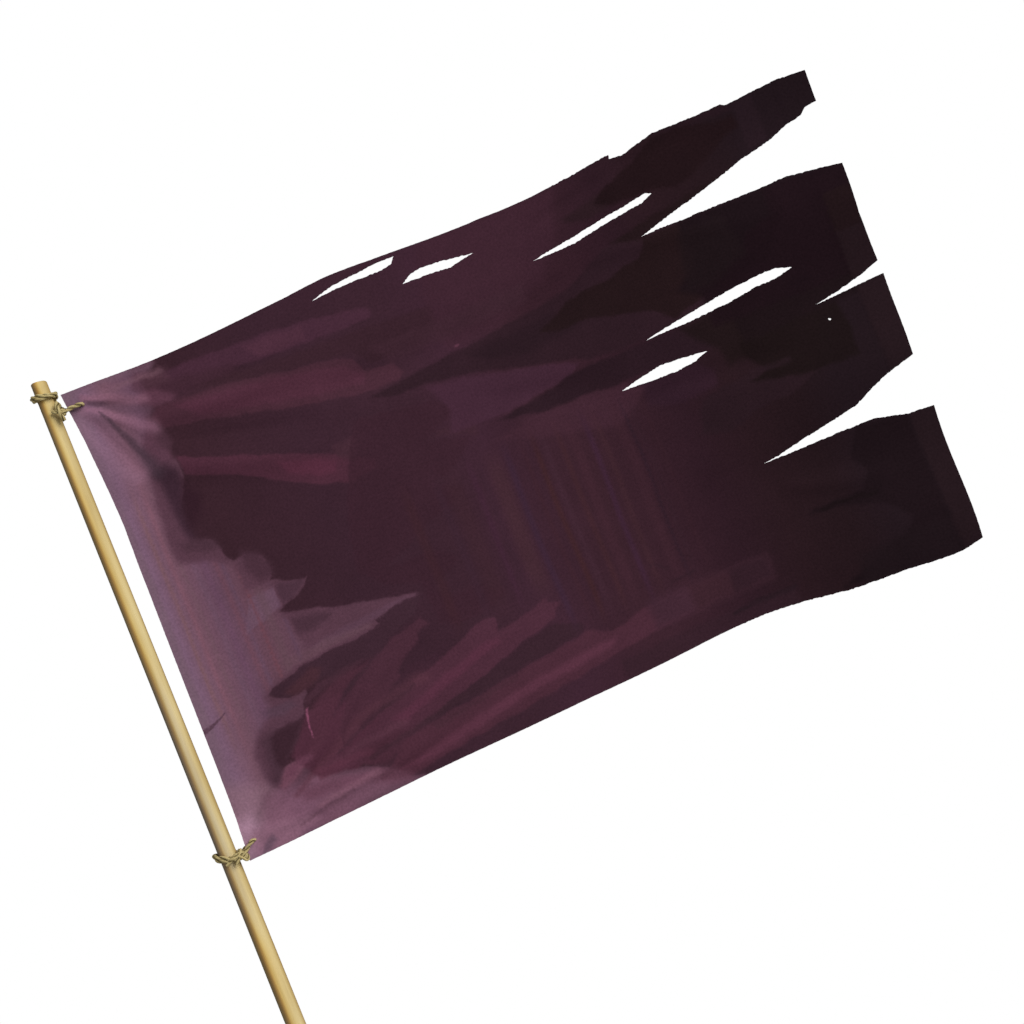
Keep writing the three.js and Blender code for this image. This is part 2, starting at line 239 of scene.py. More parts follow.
def fold_depth(fold, s, t):
    start, end, width, depth = fold
    along, across = end[0] - start[0], end[1] - start[1]
    length = math.hypot(along, across)
    p = ((s - start[0]) * along + (t - start[1]) * across) / length**2
    inside = (p > 0) & (p < 1)
    p = np.clip(p, 0, 1)
    off = ((s - start[0]) * across - (t - start[1]) * along) / length
    half = width[0] + (width[1] - width[0]) * p
    return inside * depth * np.sin(np.pi * p**FOLD_SWELL) * np.exp(-((off / half) ** 2))


def flutter(s, t):
    return FLUTTER_DEPTH * smoothstep(s, FLUTTER_START, CLOTH_FLY) * np.sin(2 * np.pi * t / FLUTTER_PITCH)


def depth_at(s, t):
    return wave(s, t) + flutter(s, t) + sum(fold_depth(fold, s, t) for fold in FOLDS)


def reach(s, t):
    """How far the cloth reaches along +X by place s, as its waves take up some of its length."""
    step = s / RUN_STEPS
    total = np.zeros_like(s)
    before = wave(0 * s, t)
    for i in range(RUN_STEPS):
        after = wave((i + 1) * step, t)
        total += np.sign(s) * np.sqrt(np.maximum(step**2 - (after - before) ** 2, 0))
        before = after
    return total


def hung(s, t):
    """A place on the cloth as it hangs, as x and z."""
    fade = np.clip(1 - s / SAG_REACH, 0, 1) ** 2
    x = CLOTH_X + through(HOIST_SAG, t) * fade + reach(s, t)
    return x, TIE_TOP_Z - CLOTH_DROP - t + through(LIFT, s)


def seen(x, depth, z):
    """Where a point shows from the front, as right and down."""
    scale = EYE_DISTANCE / (EYE_DISTANCE + depth)
    return EYE_X + (x - EYE_X) * scale - OUTLINE_X, EYE_DROP + (TIE_TOP_Z - z - EYE_DROP) * scale


def cloth_places(points):
    """The places on the cloth that show at points [right, down]."""
    goal = np.array(points, float)
    s, t = goal[:, 0].copy(), goal[:, 1].copy()
    for _ in range(FIT_PASSES):
        x, z = hung(s, t)
        right, down = seen(x, depth_at(s, t), z)
        s += goal[:, 0] - right
        t += goal[:, 1] - down
    return np.stack([s, t], 1)


def placed(name, data):
    """A new object in the scene."""
    made = bpy.data.objects.new(name, data)
    bpy.context.scene.collection.objects.link(made)
    return made


def mesh_object(name, points, faces, sharp=None):
    """A mesh object from points in millimetres, smooth but for edges of more than sharp degrees."""
    mesh = bpy.data.meshes.new(name)
    mesh.from_pydata([Vector(p) * MM for p in points], [], faces)
    if sharp:
        mesh.shade_smooth()
    mesh.update()
    if sharp:
        mesh.set_sharp_from_angle(angle=math.radians(sharp))
    return placed(name, mesh)


def noise_at(points, scale, seed):
    """Smooth noise from -1 to 1 at flat points, with features about scale across."""
    away = Vector((seed * 17.3, seed * -9.1, seed * 5.7))
    return np.array([noise.noise(Vector((x, y, 0)) / scale + away) for x, y in points])


# The cloth's colours, darker towards the fly. Colours are as they look on the hung cloth, 0 to 255, with
# painted shade and highlights of its folds, creases and ripples in them; only the light on its long wave is
# taken out. Places are [right, down] as seen from the front.
FIELD = [
    (0, (60, 38, 47)), (200, (57, 35, 43)), (400, (58, 36, 46)), (600, (60, 37, 47)),
    (700, (63, 38, 50)), (780, (60, 36, 46)), (850, (60, 36, 45)), (950, (57, 34, 43)),
    (1050, (48, 29, 37)), (1150, (43, 27, 32)), (1250, (37, 24, 28)), (1330, (35, 24, 29)),
    (1500, (33, 23, 27)),
]
PALE_TONES = [
    (35, (117, 91, 106)), (60, (118, 88, 108)), (100, (113, 79, 93)), (150, (101, 71, 89)),
    (200, (99, 67, 80)), (250, (96, 66, 80)), (400, (94, 65, 80)),
]
PALE_AREA = [
    (10, -30), (150, -30), (158, 20), (148, 44), (160, 60), (158, 76), (150, 94), (147, 112), (134, 132),
    (124, 155), (126, 185), (116, 215), (110, 250), (106, 300), (103, 345), (108, 368), (150, 380),
    (196, 400), (203, 430), (200, 455), (246, 462), (250, 505), (242, 514), (252, 532), (256, 560),
    (262, 590), (243, 610), (205, 624), (172, 636), (158, 648), (165, 664), (150, 686), (126, 704),
    (106, 740), (108, 780), (118, 806), (135, 818), (190, 815), (225, 822), (290, 838), (330, 856),
    (345, 873), (392, 889), (392, 930), (10, 940),
]
PALE_CORNER = [
    (20, -30), (206, -30), (200, 8), (186, 28), (172, 42), (176, 62), (180, 76), (164, 92), (156, 106),
    (162, 126), (165, 142), (166, 165), (170, 205), (20, 205),
]
HALF_PALE_AREA = [
    (20, 190), (172, 190), (176, 225), (165, 247), (150, 272), (146, 300), (147, 335),
    (152, 343), (180, 347), (188, 365), (192, 385), (201, 397), (222, 392), (236, 398), (250, 405),
    (258, 420), (257, 445), (250, 456), (270, 463), (290, 470), (311, 475), (300, 487), (285, 497),
    (265, 503), (242, 513), (300, 530), (350, 545), (400, 556), (450, 567), (480, 573), (490, 577),
    (450, 580), (420, 587), (398, 592), (402, 600), (385, 607), (350, 613), (300, 613), (260, 617),
    (240, 619), (225, 626), (205, 631), (180, 637), (168, 646), (185, 658), (200, 663), (215, 662),
    (236, 658), (236, 668), (221, 682), (218, 701), (212, 712), (200, 722), (185, 742), (165, 762),
    (150, 774), (195, 776), (192, 812), (215, 818), (260, 822), (290, 832), (330, 852), (345, 872),
    (395, 885), (390, 930), (20, 930),
]

# Patches: outline, colour, how soft the edge is, strength
PATCHES = [
    (PALE_CORNER, (88, 57, 71), 20, 1.0),
    (HALF_PALE_AREA, (86, 57, 70), 5, 1.0),
    (PALE_AREA, PALE_TONES, 18, 1.0),
    # the pale tongues that reach into the dark field
    ([(200, 473), (251, 470), (251, 503), (215, 518), (175, 530), (186, 505)], (105, 77, 94), 4, 0.8),
    ([(254, 470), (264, 466), (306, 475), (290, 490), (256, 504)], (74, 49, 61), 8, 0.9),
    ([(256, 530), (300, 540), (330, 550), (322, 560), (290, 566), (262, 566)], (71, 47, 58), 14, 0.95),
    ([(270, 592), (350, 582), (440, 573), (486, 576), (440, 582), (392, 592), (300, 602)], (90, 62, 77), 8,
     0.8),
    ([(205, 600), (300, 590), (392, 594), (380, 603), (300, 608), (240, 614)], (98, 69, 80), 6, 0.7),
    # painted shade beside the creases and folds of the pale cloth, darker blotches, and lighter and darker
    # patches at the bottom corner
    # painted shade in the deep crease that runs down from the top tie
    ([(126, 200), (150, 192), (164, 206), (168, 226), (164, 246), (158, 262), (152, 290), (152, 336),
     (144, 340), (138, 318), (134, 290), (133, 262), (134, 236)], (60, 39, 50), 18, 0.95),
    ([(168, 232), (178, 244), (188, 266), (182, 292), (166, 310), (150, 316), (150, 288), (158, 262),
     (168, 246)], (51, 30, 39), 26, 0.95),
    ([(122, 334), (150, 334), (186, 350), (190, 370), (160, 366), (130, 352)], (74, 49, 60), 14, 0.9),
    ([(150, 122), (172, 128), (180, 158), (168, 172), (152, 162)], (74, 48, 59), 14, 0.8),
    ([(216, 384), (250, 400), (262, 424), (258, 450), (230, 452), (216, 420)], (71, 46, 57), 16, 0.9),
    # a small painted shadow
    ([(145, 668), (205, 670), (212, 680), (180, 690), (150, 682)], (84, 61, 75), 8, 0.7),
    ([(128, 716), (156, 708), (176, 716), (160, 752), (146, 780), (128, 806), (120, 790), (124, 760)],
     (72, 48, 59), 26, 0.9),
    ([(146, 718), (160, 708), (200, 707), (222, 700), (212, 712), (200, 722), (184, 742), (166, 760),
     (154, 772), (146, 778), (140, 762), (142, 740)], (59, 37, 46), 12, 1.0),
    ([(20, 770), (70, 776), (110, 800), (120, 850), (60, 890), (20, 890)], (132, 99, 113), 40, 0.8),
    ([(20, 838), (58, 834), (72, 856), (66, 876), (44, 904), (20, 910)], (158, 122, 141), 34, 0.95),
    ([(96, 812), (180, 806), (230, 828), (320, 852), (340, 872), (220, 896), (60, 900)], (119, 81, 99), 26,
     0.8),
    ([(52, 858), (100, 860), (160, 872), (172, 886), (120, 904), (40, 912)], (136, 97, 115), 22, 0.75),
    # a painted shadow at the bottom corner, by the bottom tie
    ([(64, 890), (84, 880), (89, 890), (72, 904), (52, 910)], (98, 74, 89), 10, 0.8),
    ([(160, 824), (196, 824), (240, 832), (296, 842), (322, 856), (290, 860), (230, 852), (190, 850),
     (158, 842)], (101, 64, 80), 16, 0.8),
    ([(150, 776), (190, 772), (196, 780), (172, 796), (132, 814), (126, 808)], (112, 70, 86), 8, 0.8),
    ([(196, 806), (250, 808), (290, 814), (280, 824), (230, 820), (200, 822)], (90, 51, 65), 10, 0.8),
    # the dark leaf shapes in the maroon at the bottom, painted shade of the tension folds from the bottom
    # tie
    ([(168, 764), (186, 742), (204, 722), (222, 702), (262, 692), (330, 690), (360, 700), (340, 770),
     (330, 816), (268, 824), (228, 820), (200, 812), (184, 792)], (80, 45, 59), 9, 0.9),
    ([(168, 645), (180, 637), (205, 631), (225, 625), (242, 619), (300, 613), (350, 612), (388, 606),
     (402, 599), (400, 592), (440, 582), (488, 580), (470, 606), (420, 626), (370, 650), (300, 655),
     (260, 656), (236, 658), (215, 662), (200, 663), (185, 658)], (61, 39, 49), 4, 1.0),
    ([(196, 652), (230, 638), (256, 626), (276, 634), (264, 654), (236, 660), (212, 662)], (71, 43, 51), 10,
     0.9),
    ([(222, 692), (232, 674), (262, 660), (300, 652), (352, 648), (330, 660), (270, 672), (240, 684)],
     (71, 44, 55), 6, 0.9),
    ([(214, 745), (222, 700), (300, 662), (380, 652), (360, 668), (310, 684), (268, 714), (232, 760),
     (190, 790), (196, 772)], (80, 46, 59), 10, 0.8),
    ([(264, 722), (310, 680), (350, 660), (392, 640), (420, 634), (380, 664), (320, 690)], (61, 39, 49), 8,
     0.8),
    ([(290, 762), (340, 728), (384, 706), (404, 698), (440, 688), (500, 684), (462, 702), (430, 718),
     (396, 726), (350, 744), (306, 764)], (61, 37, 48), 8, 0.9),
    # maroon leaves that fan out from the bottom tie
    ([(262, 756), (300, 700), (340, 672), (380, 650), (415, 632), (450, 625), (472, 618), (486, 630),
     (462, 640), (455, 655), (420, 675), (402, 690), (404, 702), (360, 728), (310, 752), (270, 790)],
     (73, 43, 55), 5, 0.9),
    ([(250, 806), (330, 760), (400, 726), (450, 708), (500, 693), (550, 672), (580, 663), (600, 668),
     (596, 692), (620, 690), (660, 680), (695, 668), (700, 676), (717, 685), (705, 693), (700, 706),
     (688, 712), (650, 722), (600, 736), (550, 756), (500, 768), (450, 784), (380, 800), (300, 832)],
     (76, 44, 57), 5, 1.0),
    ([(360, 770), (440, 742), (500, 722), (560, 702), (590, 700), (590, 712), (540, 728), (470, 750),
     (380, 782)], (86, 47, 63), 9, 0.9),
    ([(300, 862), (380, 806), (430, 800), (500, 790), (600, 775), (680, 760), (755, 753), (786, 768),
     (812, 763), (850, 751), (900, 747), (1028, 746), (1030, 786), (960, 790), (880, 796), (800, 806),
     (700, 822), (600, 838), (500, 852), (400, 868), (352, 874)], (75, 43, 55), 6, 0.95),
    ([(296, 838), (330, 846), (360, 872), (352, 886), (316, 874), (290, 860)], (98, 62, 77), 20, 0.8),
    ([(340, 856), (420, 838), (500, 820), (600, 802), (700, 788), (790, 780), (780, 794), (700, 806),
     (600, 820), (500, 840), (400, 860)], (90, 51, 66), 12, 0.95),
    ([(420, 806), (500, 792), (600, 777), (600, 784), (500, 802), (430, 816)], (68, 41, 51), 6, 0.8),
    ([(862, 742), (1092, 745), (1092, 786), (1030, 788), (862, 796)], (65, 40, 51), 22, 0.9),
    ([(940, 742), (1092, 745), (1092, 788), (940, 792)], (60, 36, 44), 20, 0.9),
    ([(1018, 744), (1092, 745), (1092, 786), (1018, 788)], (50, 31, 39), 16, 0.9),
    ([(286, 800), (350, 788), (392, 798), (360, 824), (320, 838), (286, 826)], (73, 42, 54), 10, 0.85),
    ([(390, 802), (500, 770), (600, 740), (690, 716), (738, 734), (742, 750), (680, 759), (600, 771),
     (500, 787), (420, 800)], (57, 36, 45), 4, 1.0),
    ([(780, 826), (900, 816), (1000, 814), (1120, 816), (1120, 850), (780, 860)], (52, 33, 41), 10, 0.6),
    # maroon bands that run from the top corner
    ([(205, 34), (300, 36), (380, 41), (470, 43), (545, 55), (590, 63), (599, 72), (592, 85), (480, 83),
     (380, 80), (290, 68), (210, 58)], (72, 43, 57), 7, 0.9),
    ([(166, 30), (216, 28), (218, 62), (176, 64)], (76, 48, 59), 16, 0.9),
    ([(176, 54), (240, 56), (330, 68), (330, 84), (240, 92), (190, 94), (174, 84)], (66, 40, 51), 14, 0.85),
    ([(150, 62), (184, 58), (214, 82), (204, 94), (180, 88), (150, 82)], (92, 57, 72), 16, 0.85),
    ([(360, 48), (470, 50), (470, 78), (380, 76)], (79, 47, 61), 8, 0.8),
    ([(238, 80), (330, 84), (420, 92), (560, 98), (700, 104), (700, 150), (560, 160), (540, 130),
     (420, 116), (300, 98)], (57, 35, 43), 8, 0.8),
    ([(160, 106), (168, 95), (190, 90), (300, 98), (420, 117), (510, 130), (534, 142), (546, 168),
     (600, 176), (612, 194), (600, 206), (530, 206), (420, 186), (330, 164), (250, 144), (176, 130)],
     (71, 42, 53), 5, 1.0),
    ([(204, 98), (330, 112), (430, 128), (512, 146), (545, 172), (540, 190), (440, 176), (330, 152),
     (240, 132)], (80, 45, 59), 12, 0.9),
    ([(174, 186), (220, 204), (300, 232), (380, 262), (440, 288), (480, 306), (506, 324), (500, 338),
     (456, 346), (400, 330), (340, 300), (270, 258), (210, 236), (178, 222)], (76, 43, 56), 5, 1.0),
    ([(340, 262), (420, 288), (440, 300), (430, 320), (400, 312), (350, 288)], (87, 46, 62), 10, 0.9),
    ([(440, 272), (488, 272), (482, 300), (468, 312), (440, 290)], (68, 42, 52), 5, 0.8),
    # the overlapping petals in the middle
    ([(470, 290), (500, 245), (640, 262), (672, 296), (600, 326), (682, 350), (640, 386), (590, 402),
     (637, 430), (600, 451), (550, 466), (500, 490), (448, 513), (520, 513), (560, 520), (576, 540),
     (555, 561), (520, 571), (526, 602), (600, 603), (634, 630), (600, 650), (535, 656), (505, 640),
     (500, 590), (500, 560), (440, 540), (400, 500), (420, 400)], (59, 35, 45), 5, 0.75),
    ([(610, 322), (640, 316), (700, 334), (690, 352), (660, 336)], (65, 40, 49), 5, 0.6),
    # the lilac field under the diagonal fold
    ([(640, 238), (700, 246), (760, 260), (820, 273), (890, 288), (906, 300), (890, 314), (860, 320),
     (820, 326), (760, 334), (700, 334), (650, 330), (664, 290)], (68, 41, 55), 6, 0.9),
    ([(720, -10), (980, -12), (960, 60), (900, 140), (800, 180), (700, 190), (690, 80)], (64, 38, 49), 22,
     0.8),
    # painted light, lighter to offset the shade of the long diagonal fold here
    ([(570, 134), (700, 136), (870, 128), (862, 160), (700, 170), (600, 168)], (66, 41, 51), 16, 0.8),
    ([(800, 356), (960, 362), (1010, 384), (940, 430), (800, 400), (720, 372)], (67, 40, 51), 14, 0.8),
    # painted shade of the diagonal folds, from their start to the fly
    ([(534, 218), (600, 210), (640, 206), (700, 199), (760, 193), (820, 186), (880, 180), (940, 168),
     (990, 142), (1040, 122), (1100, 112), (1240, 120), (1460, 150), (1480, 330), (1330, 300), (1120, 300),
     (1000, 306), (930, 300), (900, 286), (820, 271), (760, 253), (700, 240), (640, 232), (570, 230)],
     (47, 30, 37), 7, 0.9),
    ([(730, 210), (820, 204), (900, 200), (940, 236), (830, 250), (770, 236)], (40, 26, 32), 22, 0.7),
    ([(862, 222), (900, 206), (930, 190), (960, 183), (1020, 180), (1042, 171), (1080, 164), (1094, 148),
     (1100, 134), (1180, 132), (1190, 262), (1150, 274), (1100, 288), (1070, 262), (1036, 250), (1000, 242),
     (950, 231), (900, 232)], (37, 24, 26), 6, 0.95),
    ([(736, 343), (780, 334), (830, 328), (870, 318), (900, 311), (950, 309), (1010, 310), (1120, 308),
     (1200, 302), (1190, 372), (1120, 362), (1040, 356), (960, 361), (900, 358), (830, 357), (780, 350)],
     (44, 28, 35), 7, 0.95),
    ([(1098, 310), (1200, 302), (1240, 360), (1200, 400), (1160, 404), (1156, 372), (1130, 350)],
     (32, 22, 23), 18, 0.85),
    ([(1078, 462), (1098, 442), (1140, 432), (1210, 440), (1300, 470), (1250, 492), (1180, 496),
     (1150, 506), (1112, 516), (1088, 511), (1068, 500)], (43, 28, 34), 5, 0.85),
    ([(1184, 448), (1220, 436), (1190, 400), (1190, 372), (1260, 366), (1380, 366), (1388, 420),
     (1386, 470), (1330, 470), (1280, 468), (1240, 460)], (29, 20, 21), 8, 0.9),
    ([(1000, 372), (1100, 380), (1130, 400), (1128, 428), (1060, 436), (1000, 420)], (51, 31, 42), 10, 0.7),
    ([(1196, 326), (1440, 320), (1440, 366), (1200, 376)], (30, 20, 23), 10, 0.9),
    # the darker tongues at the fly
    ([(1150, -42), (1330, -44), (1332, -22), (1260, -24), (1190, -32)], (41, 26, 32), 6, 0.8),
    ([(1336, -44), (1374, -44), (1374, 50), (1336, 60)], (40, 27, 33), 8, 0.8),
    ([(975, 50), (1010, 42), (1050, 30), (1080, 44), (1060, 62), (1010, 66), (985, 58)], (45, 29, 34), 10,
     0.9),
    ([(1040, 42), (1070, 24), (1100, 12), (1130, 2), (1160, -16), (1190, -29), (1230, -31), (1260, -21),
     (1290, -12), (1331, -12), (1333, 9), (1300, 22), (1250, 50), (1220, 62), (1190, 70), (1150, 58),
     (1110, 60), (1070, 58), (1050, 50)], (34, 21, 24), 8, 0.95),
    ([(1040, 122), (1100, 108), (1200, 92), (1250, 84), (1300, 72), (1300, 82), (1200, 106), (1100, 134)],
     (35, 23, 25), 6, 0.8),
    ([(1166, 131), (1340, 128), (1350, 180), (1300, 250), (1160, 266), (1120, 244), (1170, 214)],
     (30, 20, 24), 14, 1.0),
    ([(1330, 130), (1484, 138), (1484, 250), (1432, 262), (1430, 332), (1160, 330), (1160, 250),
     (1260, 230), (1270, 196), (1330, 180)], (31, 19, 24), 10, 0.9),
    # painted light, lighter to offset the shade of the folds here
    ([(1160, 150), (1246, 146), (1262, 226), (1180, 262), (1140, 250)], (33, 23, 26), 22, 0.8),
    ([(1326, 590), (1420, 600), (1426, 866), (1300, 862), (1200, 850), (1250, 834), (1290, 816),
     (1322, 805), (1352, 795), (1362, 779), (1355, 760), (1330, 740), (1290, 725), (1250, 714), (1194, 708),
     (1200, 702), (1300, 700), (1320, 670), (1300, 640)], (30, 20, 24), 8, 0.95),
    ([(1424, 252), (1490, 252), (1490, 880), (1430, 880), (1424, 600)], (37, 25, 29), 2.5, 0.95),
    ([(1430, 180), (1484, 180), (1484, 254), (1424, 254)], (35, 23, 25), 5, 0.8),
    # painted light, lighter to offset the shade of the flutter here
    ([(1250, 806), (1424, 800), (1428, 872), (1240, 864)], (33, 23, 27), 22, 0.7),
]

# Streaks: line, half width at each end, colour, how soft it is as a share of its width, strength
STREAKS = [
    # painted shade in the creases and painted highlights on the ridges that fan out from the top tie
    ([(58, 24), (104, 46), (128, 56), (146, 64), (160, 69)], (5, 8), (134, 92, 110), 0.95, 0.75),
    ([(62, 32), (100, 61), (140, 83), (158, 91)], (3, 10), (84, 60, 74), 0.9, 0.55),
    ([(56, 44), (98, 79), (124, 100), (140, 112), (158, 120)], (4, 12), (138, 96, 116), 0.9, 0.65),
    ([(76, 60), (92, 90), (106, 124), (121, 160), (134, 198)], (1.5, 12.5), (72, 54, 65), 0.9, 0.7),
    ([(48, 46), (70, 86), (86, 130), (104, 190)], (6, 15), (144, 102, 122), 0.9, 0.45),
    ([(38, 60), (52, 110), (66, 160), (96, 196)], (6, 9), (132, 98, 117), 0.9, 0.35),
    ([(40, 4), (120, 10), (190, 14)], (4, 8), (112, 84, 99), 0.9, 0.6),
    ([(120, 30), (180, 30), (205, 32)], (4, 5), (118, 84, 96), 0.9, 0.6),
    # thin lighter and darker lines near the hoist and at the bottom corner, and a small mark
    ([(30, 668), (60, 657), (88, 647)], (5, 0.8), (88, 62, 76), 0.35, 1.0),
    ([(223, 694), (219, 716), (216, 746)], (1.9, 1.2), (146, 83, 110), 0.9, 0.8),
    ([(716, 189), (720, 187)], (1.8, 1.4), (98, 58, 74), 0.9, 0.9),
    ([(140, 884), (190, 870), (250, 860)], (2, 3), (98, 66, 80), 0.9, 0.6),
    ([(180, 864), (250, 852), (300, 848)], (3, 6), (128, 87, 103), 0.9, 0.6),
    # maroon lines that fan out from the bottom tie: painted light and shade along its tension folds, on
    # maroon cloth
    ([(150, 830), (220, 790), (320, 742), (440, 716)], (5, 10), (88, 52, 64), 0.9, 0.6),
    ([(240, 790), (330, 752), (420, 726)], (2, 4), (64, 40, 50), 0.9, 0.6),
    ([(200, 806), (290, 790), (380, 780)], (3, 6), (88, 53, 66), 0.9, 0.6),
    ([(196, 806), (250, 806), (300, 806)], (5, 7), (90, 50, 65), 0.9, 0.7),
    ([(150, 792), (176, 778), (196, 776)], (6, 5), (100, 60, 77), 0.9, 0.8),
    ([(250, 800), (284, 740), (330, 700)], (2, 3), (69, 40, 52), 0.9, 0.6),
    ([(300, 820), (360, 806), (440, 797)], (4, 5), (62, 38, 48), 0.9, 0.7),
    ([(300, 816), (400, 796), (500, 776)], (3, 5), (64, 40, 49), 0.9, 0.5),
    # painted shade in fine creases towards the fly
    ([(896, 734), (930, 727), (962, 722)], (1.6, 2.4), (50, 32, 40), 0.9, 0.8),
    ([(892, 684), (908, 690), (920, 702)], (2, 3), (52, 33, 41), 0.9, 0.7),
    ([(1000, 820), (1060, 816), (1120, 817)], (3, 4), (40, 27, 33), 0.9, 0.8),
    ([(1190, 432), (1260, 434)], (4, 5), (44, 29, 36), 0.9, 0.6),
    ([(1220, 706), (1270, 707), (1320, 714)], (3, 3), (26, 18, 20), 0.9, 0.8),
]

# Faint upright stripes: right, half width, colour, strength. They fade in and out by the drop. Past the
# hoist's pale area they are painted light and shade of fine upright ripples in the cloth.
STRIPES_AND_RIPPLE_SHADE = [
    (47, 7, (114, 90, 103), 0.5), (60, 4, (122, 92, 114), 0.6), (78, 4, (121, 86, 92), 0.7),
    (96, 4, (124, 83, 97), 0.7), (112, 3, (108, 80, 90), 0.5), (134, 5, (104, 76, 94), 0.6),
    (150, 5, (103, 71, 92), 0.6), (170, 4, (106, 69, 82), 0.7), (181, 3, (97, 71, 90), 0.6),
    (203, 2.5, (108, 66, 76), 0.7), (222, 8, (97, 71, 80), 0.5), (248, 4, (90, 64, 82), 0.6),
    (532, 9, (63, 37, 43), 0.5), (590, 7, (60, 38, 50), 0.5), (620, 16, (64, 39, 47), 0.5),
    (656, 5, (65, 38, 53), 0.8), (672, 6, (60, 37, 48), 0.7), (700, 16, (68, 42, 50), 0.8),
    (727, 6, (61, 39, 55), 0.8), (758, 4, (63, 37, 46), 0.7), (780, 5, (65, 38, 42), 0.8),
    (796, 6, (66, 41, 52), 0.6), (824, 5, (66, 39, 45), 0.7), (846, 9, (68, 40, 50), 0.5),
    (876, 5, (63, 38, 55), 0.8), (897, 5, (66, 40, 47), 0.6), (935, 9, (64, 38, 47), 0.6),
    (952, 3, (50, 32, 42), 0.8), (966, 5, (55, 34, 43), 0.6), (990, 4, (57, 34, 42), 0.5),
]
STRIPE_CORE, STRIPE_RIM = 0.3, 1.5  # a stripe fades out between these shares of its half width
RIPPLE_DEPTH, RIPPLE_PITCH, RIPPLE_SEED = 5, 160, 7
HOIST_STRIPES_END = 255
HOIST_STRIPES_IN, HOIST_STRIPES_OUT = (175, 295), (620, 760)
HOIST_STRIPES_SOFT = 10
LEAF_TIP = 715  # left of here the stripes end above the leaves at the bottom
STRIPES_IN, STRIPES_OUT, STRIPES_OUT_AT_LEAVES = (365, 445), (685, 765), (612, 692)

# Noise: the size of its features, how strong it is, seed
WANDER = [(26, 3.5, 1), (8, 1.6, 3)]  # how the edges of the dye wander
MOTTLE = [(60, 0.035, 5), (14, 0.03, 6)]

# The pole's colours as they show across its front, by x as a share of its radius. Towards both edges, and
# most on the left, they hold painted shade beyond the light taken out of them, over the wood's browner left
# side.
POLE_COLOURS_AND_EDGE_SHADE = [
    (-1.0, (76, 68, 50)), (-0.9, (86, 75, 54)), (-0.75, (106, 87, 59)), (-0.6, (140, 112, 69)),
    (-0.45, (169, 136, 78)), (-0.3, (197, 167, 102)), (-0.15, (210, 185, 122)), (0.0, (215, 191, 132)),
    (0.2, (217, 196, 141)), (0.4, (219, 199, 146)), (0.6, (217, 197, 144)), (0.8, (206, 184, 128)),
    (0.92, (181, 156, 105)), (1.0, (140, 112, 66)),
]
GREYED = [(500, 0), (600, 1), (950, 1), (1050, 0)]  # where it is greyer, by the drop below the top tie
GREYED_ACROSS = (-0.2, 0.6)
GREYED_TINT = (0.94, 0.97, 1.12)

# The light
KEY_TOWARDS = (0.694, -0.583, 0.423)
KEY_STRENGTH = 3.0
FILL_TOWARDS = (-0.508, 0.761, 0.406)
FILL_STRENGTH = 0.8
SUN_SPREAD = 40
SKY_LEVEL = 0.35

# Floor and camera
FLOOR_RADIUS = 1100
FLOOR_SIDES = 64
FLOOR_DROP = 1
FLOOR_DIFFUSE = 0.55
FLOOR_SHADE_FROM, FLOOR_SHADE_TO = 250, 600  # it fades to white between these distances
CAMERA_LENS = 58.72
CAMERA_SENSOR = 36
CAMERA_ROLL = math.atan2(0.3726, 0.928)


def linear(colour):
    """A colour from 0 to 255, as light."""
    c = np.asarray(colour, float) / 255
    return np.where(c <= 0.04045, c / 12.92, ((c + 0.055) / 1.055) ** 2.4)


def inside_loop(points, loop):
    """Which points lie inside a closed loop."""
    loop = np.asarray(loop, float)
    inside = np.zeros(len(points), bool)
    x, y = points[:, 0], points[:, 1]
    for (ax, ay), (bx, by) in zip(loop, np.roll(loop, -1, axis=0)):
        if ay != by:
            inside ^= ((ay > y) != (by > y)) & (x < (bx - ax) * (y - ay) / (by - ay) + ax)
    return inside


def off_line(points, line):
    """How far points are from a line, and how far along it each is, from 0 to 1."""
    line = np.asarray(line, float)
    lengths = np.hypot(*np.diff(line, axis=0).T)
    best = np.full(len(points), np.inf)
    along = np.zeros(len(points))
    gone = 0
    for a, b, length in zip(line, line[1:], lengths):
        p = np.clip(((points - a) @ (b - a)) / max(length**2, 1e-9), 0, 1)
        away = np.hypot(*(points - a - p[:, None] * (b - a)).T)
        nearer = away < best
        best = np.where(nearer, away, best)
        along = np.where(nearer, (gone + p * length) / lengths.sum(), along)
        gone += length
    return best, along


def patch_share(points, loop, soft):
    """1 well inside a loop and 0 well outside it."""
    away, _ = off_line(points, [*loop, loop[0]])
    return smoothstep(np.where(inside_loop(points, loop), away, -away), -soft / 2, soft / 2)


def blend_in(colours, new, share):
    return colours + (new - colours) * share[:, None]


def by_station(stations, at):
    """The colours at places along a list of (place, colour)."""
    places = [place for place, _ in stations]
    return np.stack([np.interp(at, places, [colour[k] for _, colour in stations]) for k in range(3)], 1)


